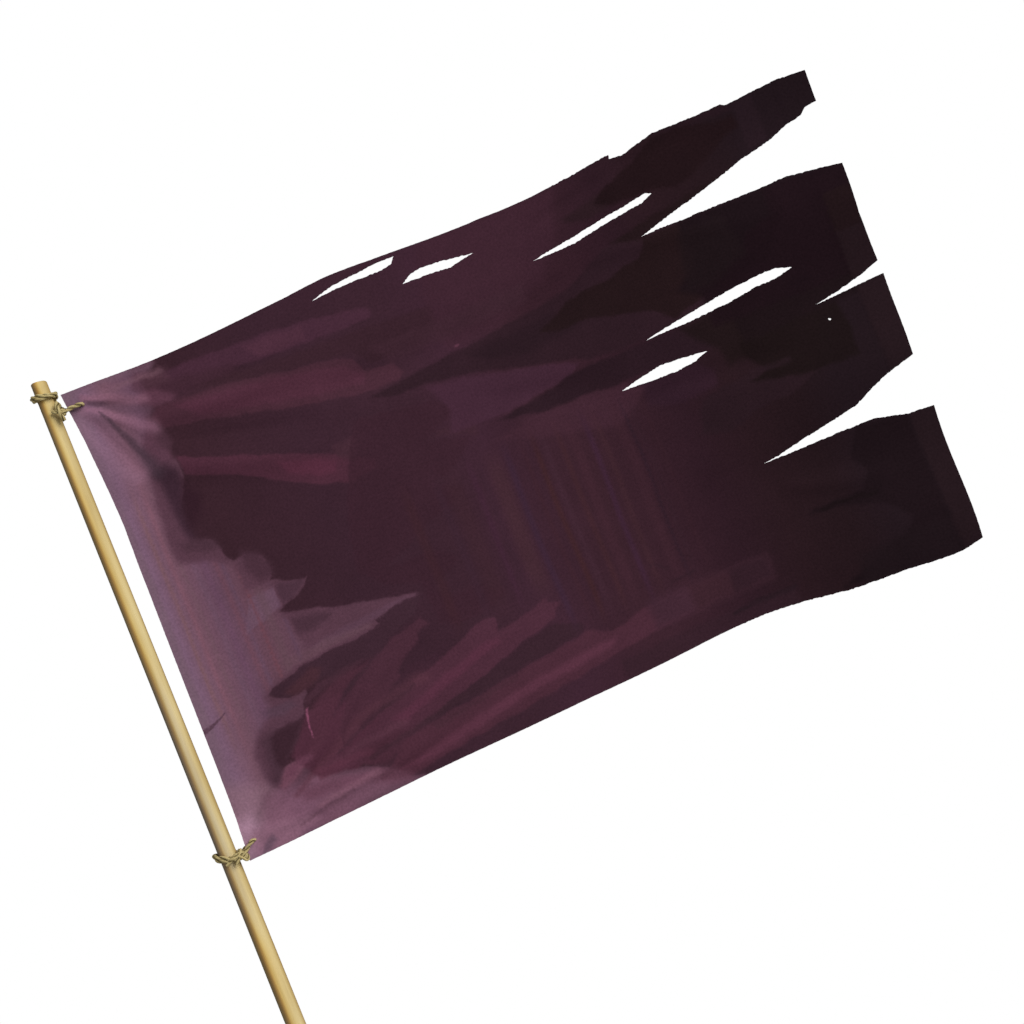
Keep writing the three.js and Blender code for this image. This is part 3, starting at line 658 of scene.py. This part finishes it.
def seen_colours(places):
    """The colours that show at places [right, down]."""
    at = places
    for size, push, seed in WANDER:
        at = at + push * np.stack([noise_at(places, size, seed), noise_at(places, size, seed + 1)], 1)
    colours = by_station(FIELD, at[:, 0])
    for loop, colour, soft, strength in PATCHES:
        new = by_station(colour, at[:, 0]) if isinstance(colour, list) else np.array(colour, float)
        colours = blend_in(colours, new, strength * patch_share(at, loop, soft))
    across, down = places.T
    for right, half, colour, strength in STRIPES_AND_RIPPLE_SHADE:
        ripple = noise_at(np.stack([np.full_like(across, right), down], 1), RIPPLE_PITCH, RIPPLE_SEED)
        off = np.abs(across + RIPPLE_DEPTH * ripple - right)
        share = strength * (1 - smoothstep(off, STRIPE_CORE * half, STRIPE_RIM * half))
        fade_in, fade_out = STRIPES_IN, STRIPES_OUT
        if right < LEAF_TIP:
            fade_out = STRIPES_OUT_AT_LEAVES
        if right < HOIST_STRIPES_END:
            fade_in, fade_out = HOIST_STRIPES_IN, HOIST_STRIPES_OUT
        share *= smoothstep(down, *fade_in)
        share *= 1 - smoothstep(down, *fade_out)
        if right < HOIST_STRIPES_END:
            share *= patch_share(at, PALE_AREA, HOIST_STRIPES_SOFT)
        colours = blend_in(colours, np.array(colour, float), share)
    for line, (start, end), colour, soft, strength in STREAKS:
        away, along = off_line(at, line)
        half = start + (end - start) * along
        share = 1 - smoothstep(away, half * (1 - soft), half * (1 + soft))
        colours = blend_in(colours, np.array(colour, float), strength * share)
    mottle = np.ones(len(places))
    for size, depth, seed in MOTTLE:
        mottle += depth * noise_at(places, size, seed)
    return np.clip(colours * mottle[:, None], 0, 255)


def light_on_wave(s, t):
    """How much light falls on the cloth's long wave, as a share of full white."""
    rise = (wave(s + 1, t) - wave(s - 1, t)) / 2
    facing = KEY_TOWARDS[0] * rise - KEY_TOWARDS[1] * np.sqrt(1 - rise**2)
    return SKY_LEVEL + KEY_STRENGTH / math.pi * facing


def albedo_with_painted_shade(places, s, t):
    """The cloth's dyed colour at places [right, down], with painted shade and highlights of its folds and
    creases, and with the light on its long wave taken out.
    """
    return linear(seen_colours(places)) / light_on_wave(s, t)[:, None]


def resampled(loop, step):
    """The points of a closed loop, about step apart, with its corners kept."""
    points = []
    for a, b in zip(loop, np.roll(loop, -1, axis=0)):
        count = max(1, round(math.dist(a, b) / step))
        points += [a + (b - a) * i / count for i in range(count)]
    return np.array(points)


def room(points):
    """How much of FRAY_DEPTH each point of a loop has room for. At a gap's narrow tip it is less."""
    place = np.arange(len(points))
    steps = np.abs(place[:, None] - place)
    apart = np.linalg.norm(points[:, None] - points, axis=2)
    apart[np.minimum(steps, len(points) - steps) < 2] = np.inf
    return np.clip(apart.min(axis=0) / FRAY_ROOM, 0, 1)


def frayed(loop, torn, seed):
    """A resampled loop with its torn points pulled in and out."""
    points = resampled(loop, EDGE_STEP)
    pull = np.random.default_rng(seed).uniform(-FRAY_DEPTH, FRAY_DEPTH, points.shape)
    share = room(points) * (FRAY_OF_HEM + (1 - FRAY_OF_HEM) * torn(points))
    return points + pull * share[:, None]


def ring(centre, radius, sides):
    turn = 2 * np.pi * np.arange(sides) / sides
    return np.array(centre) + radius * np.stack([np.cos(turn), np.sin(turn)], 1)


def cloth_loops():
    """The outline, the slits and the two corner holes, as loops of places on the cloth."""
    outline = cloth_places(TOP_EDGE + GAP_1 + GAP_2 + GAP_3 + BOTTOM_EDGE + HOIST_EDGE)

    def torn(points):
        return (points[:, 0] > FRAYED_FROM) * (points[:, 0] < FRAYED_TO)

    slits = [
        frayed(cloth_places(slit), lambda points: np.ones(len(points)), SLIT_SEED + i)
        for i, slit in enumerate(SLITS)
    ]
    holes = [ring(place, HOLE_RADIUS, HOLE_SIDES) for place in (TOP_HOLE, BOTTOM_HOLE)]
    return [frayed(outline, torn, FRAY_SEED), *slits, *holes]


def shown_depth(s, t):
    """The depth of the cloth with its finer creases, and with the fly's doubled strip raised."""
    depth = depth_at(s, t)
    for crease in CREASES:
        depth = depth + fold_depth(crease, s, t)
    for place in (TOP_HOLE, BOTTOM_HOLE):
        near = np.exp(-(((s - place[0]) ** 2 + (t - place[1]) ** 2) / EVEN_ROUND_HOLE**2))
        depth = depth * (1 - near) + depth_at(s, t) * near
    hem = CLOTH_FLY - HEM_WIDTH
    return depth - HEM_STEP * smoothstep(s, hem - HEM_STEP_WIDTH, hem)


def shown_points(s, t):
    x, z = hung(s, t)
    return np.stack([x, shown_depth(s, t), z], 1)


def shown_at(s, t):
    """Where places on the cloth show from the front, as [right, down]."""
    x, z = hung(s, t)
    return np.stack(seen(x, depth_at(s, t), z), 1)


def midpoints(flat, faces, change):
    """The middles of the sides along which the colour changes by more than this, from 0 to 255."""
    colours = seen_colours(shown_at(*flat.T))
    sides = np.unique(np.sort(np.concatenate([faces[:, :2], faces[:, 1:], faces[:, ::2]]), axis=1), axis=0)
    a, b = sides.T
    fast = np.abs(colours[a] - colours[b]).max(axis=1) > change
    return (flat[a[fast]] + flat[b[fast]]) / 2


def flat_triangles(loops):
    """Places on the cloth and triangles between them, inside the first loop and outside the others."""
    rows = int((CLOTH_HOIST + LATTICE_PAST) / (LATTICE * math.sqrt(0.75)))
    columns = int((CLOTH_FLY + LATTICE_PAST) / LATTICE)
    i, j = (counts.ravel() for counts in np.meshgrid(np.arange(columns), np.arange(rows)))
    lattice = np.stack([(i + (j % 2) / 2) * LATTICE, j * LATTICE * math.sqrt(0.75)], 1) + LATTICE_FROM

    def kept(points):
        inside = inside_loop(points, loops[0])
        for loop in loops[1:]:
            inside &= ~inside_loop(points, loop)
        return inside

    edge = np.concatenate([resampled(loop, RIM_STEP) for loop in loops])
    tree = KDTree(len(edge))
    for k, (s, t) in enumerate(edge):
        tree.insert((s, t, 0), k)
    tree.balance()
    lattice = lattice[kept(lattice)]
    clear = [tree.find((s, t, 0))[2] > RIM_CLEAR for s, t in lattice]
    points = np.concatenate([*loops, lattice[clear]])
    edges = []
    for loop in loops:
        start = len(edges)
        edges += [(start + k, start + (k + 1) % len(loop)) for k in range(len(loop))]
    for change in (*COLOUR_STEPS, None):
        verts, _, faces, *_ = delaunay_2d_cdt([Vector(p) for p in points], edges, [], 0, SAME_POINT, False)
        flat = np.array([v[:] for v in verts])
        faces = np.array([f for f in faces if len(f) == 3])
        faces = faces[kept(flat[faces].mean(axis=1))]
        if change:
            points = np.concatenate([points, midpoints(flat, faces, change)])
    return flat, faces


def rim_edges(faces):
    """The directed edges that only one triangle has."""
    directed = {(int(f[k]), int(f[(k + 1) % 3])) for f in faces for k in range(3)}
    return [(a, b) for a, b in directed if (b, a) not in directed]


def cloth_sheet():
    """The cloth: a front and a back sheet, joined along every rim."""
    flat, faces = flat_triangles(cloth_loops())
    s, t = flat.T
    middle = shown_points(s, t)
    along = shown_points(s + 1, t) - middle
    down = shown_points(s, t + 1) - middle
    normal = np.cross(along, down)
    normal /= np.linalg.norm(normal, axis=1)[:, None]
    half = normal * CLOTH_SHOWN_THICKNESS / 2
    points = np.concatenate([middle - half, middle + half])
    count = len(middle)
    a, b, c = faces.T
    turned = np.cross(flat[b] - flat[a], flat[c] - flat[a]) < 0
    faces[turned] = faces[turned][:, ::-1]
    every = [tuple(f) for f in (*faces[:, ::-1].tolist(), *(faces + count).tolist())]
    every += [(a, b, b + count, a + count) for a, b in rim_edges(faces)]
    made = mesh_object("cloth", points, every, CLOTH_SHARP)
    # the colour holds painted shade and highlights of the cloth's folds, creases and ripples
    albedo = albedo_with_painted_shade(np.stack(seen(*middle.T), 1), s, t)
    paint(made, "colour_and_painted_shade", np.concatenate([albedo, albedo]))
    place = np.stack([s * MM, t * MM, s * 0], 1)
    put_vectors(made, "place", np.concatenate([place, place + (0, 0, 1)]))
    return made


def paint(made, name, colours):
    """Stores one linear colour for each point of a mesh."""
    layer = made.data.color_attributes.new(name, "FLOAT_COLOR", "POINT")
    flat = np.concatenate([colours, np.ones((len(colours), 1))], 1).astype(np.float32)
    layer.data.foreach_set("color", flat.ravel())


def put_vectors(made, name, vectors):
    layer = made.data.attributes.new(name, "FLOAT_VECTOR", "POINT")
    layer.data.foreach_set("vector", np.asarray(vectors, np.float32).ravel())


# Rope and pole

def curve_through(route):
    """Close points on a centripetal curve through a route."""
    p = np.asarray(route, float)
    p = np.concatenate([[2 * p[0] - p[1]], p, [2 * p[-1] - p[-2]]])
    points = []
    for a, b, c, d in zip(p, p[1:], p[2:], p[3:]):
        before, here, after = (max(np.linalg.norm(v - u) ** 0.5, 1e-3) for u, v in ((a, b), (b, c), (c, d)))
        leave = ((b - a) / before - (c - a) / (before + here) + (c - b) / here) * here
        arrive = ((c - b) / here - (d - b) / (here + after) + (d - c) / after) * here
        for u in np.arange(0, 1, CURVE_STEP):
            v = 1 - u
            between = b * (1 + 2 * u) * v * v + c * u * u * (3 - 2 * u)
            points.append(between + (leave * v - arrive * u) * u * v)
    points.append(p[-2])
    return np.array(points)


def even_steps(points, step):
    """Points at even steps along a line, and how far along it each is."""
    lengths = np.concatenate([[0], np.cumsum(np.linalg.norm(np.diff(points, axis=0), axis=1))])
    count = max(2, round(lengths[-1] / step))
    at = np.linspace(0, lengths[-1], count + 1)
    return np.stack([np.interp(at, lengths, points[:, k]) for k in range(3)], 1), at


def frames_along(path):
    """Two directions across a path at each of its points, carried along it without twist."""
    tangents = np.gradient(path, axis=0)
    tangents /= np.linalg.norm(tangents, axis=1)[:, None]
    across = np.cross(tangents[0], NOT_ALONG)
    sides = []
    for tangent in tangents:
        across = across - tangent * (across @ tangent)
        across /= np.linalg.norm(across)
        sides.append((across, np.cross(tangent, across)))
    return sides


def tube_faces(start, rings, sides):
    """The sides and the two caps of a tube whose points lie in rings."""
    faces = []
    for i in range(rings - 1):
        for k in range(sides):
            a, b = start + i * sides + k, start + i * sides + (k + 1) % sides
            faces.append((a, b, b + sides, a + sides))
    last = start + (rings - 1) * sides
    return [*faces, tuple(reversed(range(start, start + sides))), tuple(range(last, last + sides))]


class Heap:
    """Points, faces and places of the tubes of one piece."""

    def __init__(self):
        self.points, self.faces, self.places = [], [], []

    def tube(self, path, radii, sides, core=None):
        """A capped tube. Its places hold how far each point lies from the core line, if there is one."""
        start = len(self.points)
        core = path if core is None else core
        length = np.concatenate([[0], np.cumsum(np.linalg.norm(np.diff(path, axis=0), axis=1))])
        for centre, middle, radius, far, (u, v) in zip(path, core, radii, length, frames_along(path)):
            for k in range(sides):
                turn = 2 * math.pi * k / sides
                point = centre + radius * (math.cos(turn) * u + math.sin(turn) * v)
                self.points.append(point)
                self.places.append((far * MM, turn * radius * MM, np.linalg.norm(point - middle) * MM))
        self.faces += tube_faces(start, len(path), sides)

    def made(self, name):
        made = mesh_object(name, self.points, self.faces, ROPE_SHARP)
        put_vectors(made, "place", self.places)
        return made


def twisted(heap, route, tie_z, seed):
    """A run of rope: two strands wound round each other, with a few loose fibres."""
    route = [(x, y, tie_z - drop) for x, y, drop in route]
    path, at = even_steps(curve_through(route), STRAND_STEP)
    sides = frames_along(path)
    rng = random.Random(seed)
    first = rng.uniform(0, 6)
    lays = max(1, round(at[-1] / ROPE_LAY))  # whole lays, so that a closed turn's ends meet
    for k in range(2):
        turns_at = first + at / at[-1] * lays * 2 * math.pi + k * math.pi
        line = [
            p + STRAND_OFFSET * (math.cos(a) * u + math.sin(a) * v)
            for p, a, (u, v) in zip(path, turns_at, sides)
        ]
        swell = [1 + STRAND_SWELL * math.sin(a * STRAND_SWELLS + seed) for a in turns_at]
        heap.tube(np.array(line), STRAND_RADIUS * np.array(swell), STRAND_SIDES, path)
    for _ in range(WHISKERS):
        i = rng.randrange(2, len(path) - 2)
        turn = rng.uniform(0, 6.28)
        out = math.cos(turn) * sides[i][0] + math.sin(turn) * sides[i][1]
        away = path[i + 1] - path[i - 1]
        away /= np.linalg.norm(away)
        far = rng.uniform(*WHISKER_OUT)
        bend_out, bend_along = WHISKER_BEND
        stages = [(-WHISKER_ROOT, 0), (bend_out * far, bend_along), (far, rng.uniform(*WHISKER_ALONG))]
        hair = [path[i] + out * (ROPE_RADIUS + past) + away * along for past, along in stages]
        heap.tube(np.array(hair), WHISKER_RADII, WHISKER_SIDES)


def pole_radius(z):
    return POLE_FOOT_RADIUS + (POLE_TOP_RADIUS - POLE_FOOT_RADIUS) * z / POLE_LENGTH


def turn_round(tie_z, over, front_drop, right_drop):
    """A turn round the pole. Where two turns cross, the one whose over is 1 lies over the other first."""
    radius = pole_radius(tie_z) + ROPE_SEAT + ROPE_RADIUS
    route = []
    for i in range(TURN_STEPS + 1):
        angle = 2 * math.pi * i / TURN_STEPS
        past = angle - TURN_CROSSING
        out = radius + ROPE_RADIUS * TURN_RISE * (1 + over * math.cos(past))
        apart = over * ROPE_RADIUS * TURN_SPREAD * math.sin(past)
        drop = right_drop * math.cos(angle) - front_drop * math.sin(angle) - apart
        route.append((out * math.cos(angle), out * math.sin(angle), drop))
    return route


def leg(tie_z, hole, front, back):
    """The run through a corner hole: out of the knot, in at the front and back behind the cloth."""
    s, t = np.array([hole[0]], float), np.array([hole[1]], float)
    x, z = (float(v[0]) for v in hung(s, t))
    y = float(depth_at(s, t)[0])
    drop = tie_z - z
    bends = [(-LEG_ASIDE, -LEG_BEND), (0, -LEG_STRAIGHT), (0, LEG_STRAIGHT), (-LEG_ASIDE, LEG_BEND)]
    return [*front, *((x + aside, y + behind, drop) for aside, behind in bends), *back]


def rope_tie(name, tie_z, routes):
    """All runs of one tie, from routes of x, y and the drop below the tie."""
    heap = Heap()
    for i, route in enumerate(routes):
        twisted(heap, route, tie_z, i + 1)
    return heap.made(name)


def top_tie():
    z = TIE_TOP_Z
    return rope_tie("rope_top", z, [
        turn_round(z, 1, 0, 2.5),
        turn_round(z, -1, 0, 2.5),
        [(9, 19, 4), (13, 18, 14), (18, 13, 25), (22, 3, 32), (25, -9, 37), (25, -16, 44)],
        [(20, -14, 18), (19, -20, 27), (20, -22, 38), (23, -19, 54)],
        [(26, -15, 37), (18, -20, 35), (8, -21, 32)],
        leg(
            z, TOP_HOLE,
            [(24, -18, 41), (34, -16, 38), (46, -13, 36)],
            [(46, 9, 36), (35, 8, 36), (24, 2, 34)],
        ),
    ])


def bottom_tie():
    z = TIE_TOP_Z - TIE_BOTTOM_DROP
    return rope_tie("rope_bottom", z, [
        turn_round(z, 1, 1, 8),
        turn_round(z, -1, 1, 8),
        [(22, 2, 3), (25, -8, -5), (25, -15, -1), (19, -20, 7), (13, -23, 15)],
        [(16, -21, 1), (25, -18, 8), (33, -14, 14), (35, -12, 8), (31, -14, 1), (21, -17, 1)],
        [(21, -20, -1), (12, -24, 3), (3, -24, 6), (-3, -25, 11)],
        leg(
            z, BOTTOM_HOLE,
            [(28, -16, 8), (35, -15, 1), (44, -13, -7)],
            [(44, 10, -8), (34, 5, -3), (25, -8, 2)],
        ),
    ])


def wooden_pole():
    heights = np.linspace(POLE_FOOT_CHAMFER, POLE_LENGTH - POLE_ARRIS, round(POLE_LENGTH / POLE_RING_STEP))
    profile = [(pole_radius(0) - POLE_FOOT_CHAMFER, 0)] + [(pole_radius(z), z) for z in heights]
    worn = ARRIS_MIDDLE * POLE_ARRIS
    profile += [(POLE_TOP_RADIUS - worn, POLE_LENGTH - worn), (POLE_TOP_RADIUS - POLE_ARRIS, POLE_LENGTH)]
    points = []
    for radius, z in profile:
        share = min(max((z - POLE_LENGTH + CUT_REACH) / CUT_REACH, 0), 1)
        for k in range(POLE_SIDES):
            turn = 2 * math.pi * k / POLE_SIDES
            x, y = radius * math.cos(turn), radius * math.sin(turn)
            points.append((x, y, z - CUT_SLOPE * x * share))
    made = mesh_object("pole_stick", points, tube_faces(0, len(profile), POLE_SIDES), POLE_SHARP)
    # the colour holds painted shade towards the pole's edges
    paint(made, "colour_and_painted_shade", pole_albedo(np.array(points)))
    return made


def pole_albedo(at):
    """The wood's colour at points of the pole, with the light on its roundness taken out; the painted shade
    towards its edges stays in.
    """
    far = math.hypot(EYE_X, EYE_DISTANCE)
    eye, aside = np.array((EYE_X, -EYE_DISTANCE)) / far, np.array((EYE_DISTANCE, EYE_X)) / far
    share = at[:, :2] @ aside / np.maximum(np.hypot(at[:, 0], at[:, 1]), 1)
    normal = share[:, None] * aside + np.sqrt(np.maximum(1 - share**2, 0))[:, None] * eye
    light = SKY_LEVEL + (
        KEY_STRENGTH * np.maximum(normal @ KEY_TOWARDS[:2], 0)
        + FILL_STRENGTH * np.maximum(normal @ FILL_TOWARDS[:2], 0)
    ) / math.pi
    colours = by_station(POLE_COLOURS_AND_EDGE_SHADE, share)
    greyed = through(GREYED, TIE_TOP_Z - at[:, 2]) * (1 - smoothstep(share, *GREYED_ACROSS))
    colours = blend_in(colours, colours * GREYED_TINT, greyed)
    return linear(colours) / light[:, None]


# Materials

MIX_SHARE, MIX_FIRST, MIX_SECOND, MIX_RESULT = 0, 6, 7, 2  # a mix node's sockets for colours


def material(name, roughness, specular):
    made = bpy.data.materials.new(name)
    made.use_nodes = True
    shader = made.node_tree.nodes["Principled BSDF"]
    shader.inputs["Roughness"].default_value = roughness
    shader.inputs["Specular IOR Level"].default_value = specular
    return made, made.node_tree, shader


def add_node(tree, kind, **settings):
    made = tree.nodes.new(kind)
    for name, value in settings.items():
        setattr(made, name, value)
    return made


def attribute(tree, name, output="Color"):
    return add_node(tree, "ShaderNodeAttribute", attribute_name=name).outputs[output]


def noise_texture(tree, vector, scale, detail, rough, stretch=None):
    if stretch:
        scaled = add_node(tree, "ShaderNodeVectorMath", operation="MULTIPLY")
        tree.links.new(vector, scaled.inputs[0])
        scaled.inputs[1].default_value = stretch
        vector = scaled.outputs[0]
    texture = add_node(tree, "ShaderNodeTexNoise")
    texture.inputs["Scale"].default_value = scale
    texture.inputs["Detail"].default_value = detail
    texture.inputs["Roughness"].default_value = rough
    tree.links.new(vector, texture.inputs["Vector"])
    return texture.outputs["Fac"]


def ramp(tree, value, stops):
    made = add_node(tree, "ShaderNodeValToRGB")
    tree.links.new(value, made.inputs["Fac"])
    while len(made.color_ramp.elements) < len(stops):
        made.color_ramp.elements.new(1)
    for element, (place, colour) in zip(made.color_ramp.elements, stops):
        element.position = place
        element.color = (*colour, 1)
    return made.outputs["Color"]


def multiplied(tree, colour, *shades):
    """A colour multiplied by each shade in turn."""
    for shade in shades:
        mix = add_node(tree, "ShaderNodeMix", data_type="RGBA", blend_type="MULTIPLY")
        mix.inputs[MIX_SHARE].default_value = 1
        tree.links.new(colour, mix.inputs[MIX_FIRST])
        tree.links.new(shade, mix.inputs[MIX_SECOND])
        colour = mix.outputs[MIX_RESULT]
    return colour


def bumped(tree, shader, height, distance, strength):
    bump = add_node(tree, "ShaderNodeBump")
    bump.inputs["Strength"].default_value = strength
    bump.inputs["Distance"].default_value = distance
    tree.links.new(height, bump.inputs["Height"])
    tree.links.new(bump.outputs["Normal"], shader.inputs["Normal"])


def grey(value):
    return (value, value, value)


def cloth_material():
    made, tree, shader = material("dyed_cloth", roughness=0.95, specular=0)
    fine = noise_texture(tree, attribute(tree, "place", "Vector"), scale=220, detail=4, rough=0.6)
    shade = ramp(tree, fine, [(0.3, grey(0.84)), (0.5, grey(1.0)), (0.7, grey(1.14))])
    tree.links.new(multiplied(tree, attribute(tree, "colour_and_painted_shade"), shade), shader.inputs["Base Color"])
    bumped(tree, shader, fine, distance=0.001, strength=0.25)
    return made


def rope_material():
    made, tree, shader = material("hemp_rope", roughness=0.85, specular=0.05)
    place = attribute(tree, "place", "Vector")
    where = add_node(tree, "ShaderNodeTexCoord").outputs["Object"]
    fibres = noise_texture(tree, place, scale=700, detail=2, rough=0.5, stretch=(0.12, 1, 0.3))
    dirt = noise_texture(tree, where, scale=60, detail=2, rough=0.5)
    stops = [(0.28, (132, 116, 74)), (0.5, (178, 161, 112)), (0.75, (204, 188, 140))]
    colour = ramp(tree, fibres, [(at, tuple(linear(shade))) for at, shade in stops])
    # Painted shade in the grooves between the strands: darker where a point lies nearer the rope's core
    # line.
    out = add_node(tree, "ShaderNodeSeparateXYZ")
    tree.links.new(place, out.inputs[0])
    lay = add_node(tree, "ShaderNodeMapRange")
    for end, share in (("From Min", 0.55), ("From Max", 0.85)):
        lay.inputs[end].default_value = share * ROPE_RADIUS * MM
    tree.links.new(out.outputs["Z"], lay.inputs["Value"])
    groove_shade = ramp(tree, lay.outputs["Result"], [(0.0, (0.22, 0.2, 0.16)), (1.0, grey(1.0))])
    shade = ramp(tree, dirt, [(0.35, grey(0.8)), (0.6, grey(1.04))])
    tree.links.new(multiplied(tree, colour, groove_shade, shade), shader.inputs["Base Color"])
    bumped(tree, shader, fibres, distance=0.0004, strength=0.4)
    return made


def wood_material():
    made, tree, shader = material("peeled_wood", roughness=0.7, specular=0.05)
    where = add_node(tree, "ShaderNodeTexCoord").outputs["Object"]
    grain = noise_texture(tree, where, scale=60, detail=4, rough=0.6, stretch=(1, 1, 0.06))
    stains = noise_texture(tree, where, scale=9, detail=2, rough=0.5, stretch=(1, 1, 0.35))
    lines = ramp(tree, grain, [(0.3, (0.8, 0.76, 0.68)), (0.6, grey(1.04))])
    shade = ramp(tree, stains, [(0.35, (0.93, 0.86, 0.72)), (0.6, grey(1.0))])
    tree.links.new(multiplied(tree, attribute(tree, "colour_and_painted_shade"), lines, shade), shader.inputs["Base Color"])
    bumped(tree, shader, grain, distance=0.001, strength=0.3)
    return made


def dress(made, finish, *nodes, slot):
    """Gives a piece its material, puts it under the root body and hides the parts of the model that it
    stands for.
    """
    made.data.materials.append(finish)
    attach(made, "root")
    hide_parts(*nodes)


cloth = cloth_sheet()
rope_top = top_tie()
rope_bottom = bottom_tie()
stick = wooden_pole()
rope = rope_material()
dress(cloth, cloth_material(), "flag", slot="flag_cloth")
dress(rope_top, rope, "tie_top", slot="tie_rope")
dress(rope_bottom, rope, "tie_bottom", slot="tie_rope")
dress(stick, wood_material(), "pole", slot="pole_wood")


# Light, floor and camera

def sun(name, towards, strength):
    light = bpy.data.lights.new(name, "SUN")
    light.energy = strength
    light.angle = math.radians(SUN_SPREAD)
    placed(name, light).rotation_euler = Vector(towards).to_track_quat("Z", "Y").to_euler()


def show(tree, output, share, first, second):
    """Shows the first shader where share is 0 and the second where it is 1."""
    pick = add_node(tree, "ShaderNodeMixShader")
    for source, socket in zip((share, first, second), pick.inputs):
        tree.links.new(source, socket)
    tree.links.new(pick.outputs[0], tree.nodes[output].inputs["Surface"])


def surroundings():
    """An even white sky, plain white where the camera looks straight at it."""
    world = bpy.data.worlds.new("sky")
    bpy.context.scene.world = world
    world.use_nodes = True
    tree = world.node_tree
    shade = tree.nodes["Background"]
    shade.inputs["Color"].default_value = (1, 1, 1, 1)
    shade.inputs["Strength"].default_value = SKY_LEVEL
    white = add_node(tree, "ShaderNodeBackground")
    white.inputs["Color"].default_value = (1, 1, 1, 1)
    straight = add_node(tree, "ShaderNodeLightPath").outputs["Is Camera Ray"]
    show(tree, "World Output", straight, shade.outputs[0], white.outputs[0])


def floor_disc():
    """A white floor that shows the shadow of the pole's foot and fades into the sky."""
    points = [(x, y, -FLOOR_DROP) for x, y in ring((0, 0), FLOOR_RADIUS, FLOOR_SIDES)]
    made = mesh_object("floor", points, [tuple(range(FLOOR_SIDES))])
    finish, tree, shader = material("white_floor", roughness=0.9, specular=0)
    shader.inputs["Base Color"].default_value = (FLOOR_DIFFUSE, FLOOR_DIFFUSE, FLOOR_DIFFUSE, 1)
    shader.inputs["Emission Color"].default_value = (1, 1, 1, 1)
    shader.inputs["Emission Strength"].default_value = 1 - FLOOR_DIFFUSE * (
        SKY_LEVEL + (KEY_STRENGTH * KEY_TOWARDS[2] + FILL_STRENGTH * FILL_TOWARDS[2]) / math.pi)
    glow = add_node(tree, "ShaderNodeEmission")
    where = add_node(tree, "ShaderNodeTexCoord").outputs["Object"]
    length = add_node(tree, "ShaderNodeVectorMath", operation="LENGTH")
    tree.links.new(where, length.inputs[0])
    stops = [(FLOOR_SHADE_FROM * MM, grey(0)), (FLOOR_SHADE_TO * MM, grey(1))]
    fade = ramp(tree, length.outputs["Value"], stops)
    show(tree, "Material Output", fade, shader.outputs[0], glow.outputs[0])
    made.data.materials.append(finish)
    made.visible_diffuse = made.visible_glossy = made.visible_shadow = False
    return made


def set_camera():
    data = bpy.data.cameras.new("camera")
    data.lens = CAMERA_LENS
    data.sensor_width = CAMERA_SENSOR
    right = Vector((math.cos(CAMERA_ROLL), 0, -math.sin(CAMERA_ROLL)))
    up = Vector((math.sin(CAMERA_ROLL), 0, math.cos(CAMERA_ROLL)))
    turn = Matrix((right, up, (0, -1, 0))).transposed().to_4x4()
    made = placed("camera", data)
    made.matrix_world = Matrix.Translation(Vector((EYE_X, -EYE_DISTANCE, TIE_TOP_Z - EYE_DROP)) * MM) @ turn
    bpy.context.scene.camera = made


sun("key", KEY_TOWARDS, KEY_STRENGTH)
sun("back_fill", FILL_TOWARDS, FILL_STRENGTH)
surroundings()
floor = floor_disc()
set_camera()
bpy.context.scene.view_settings.view_transform = "Standard"
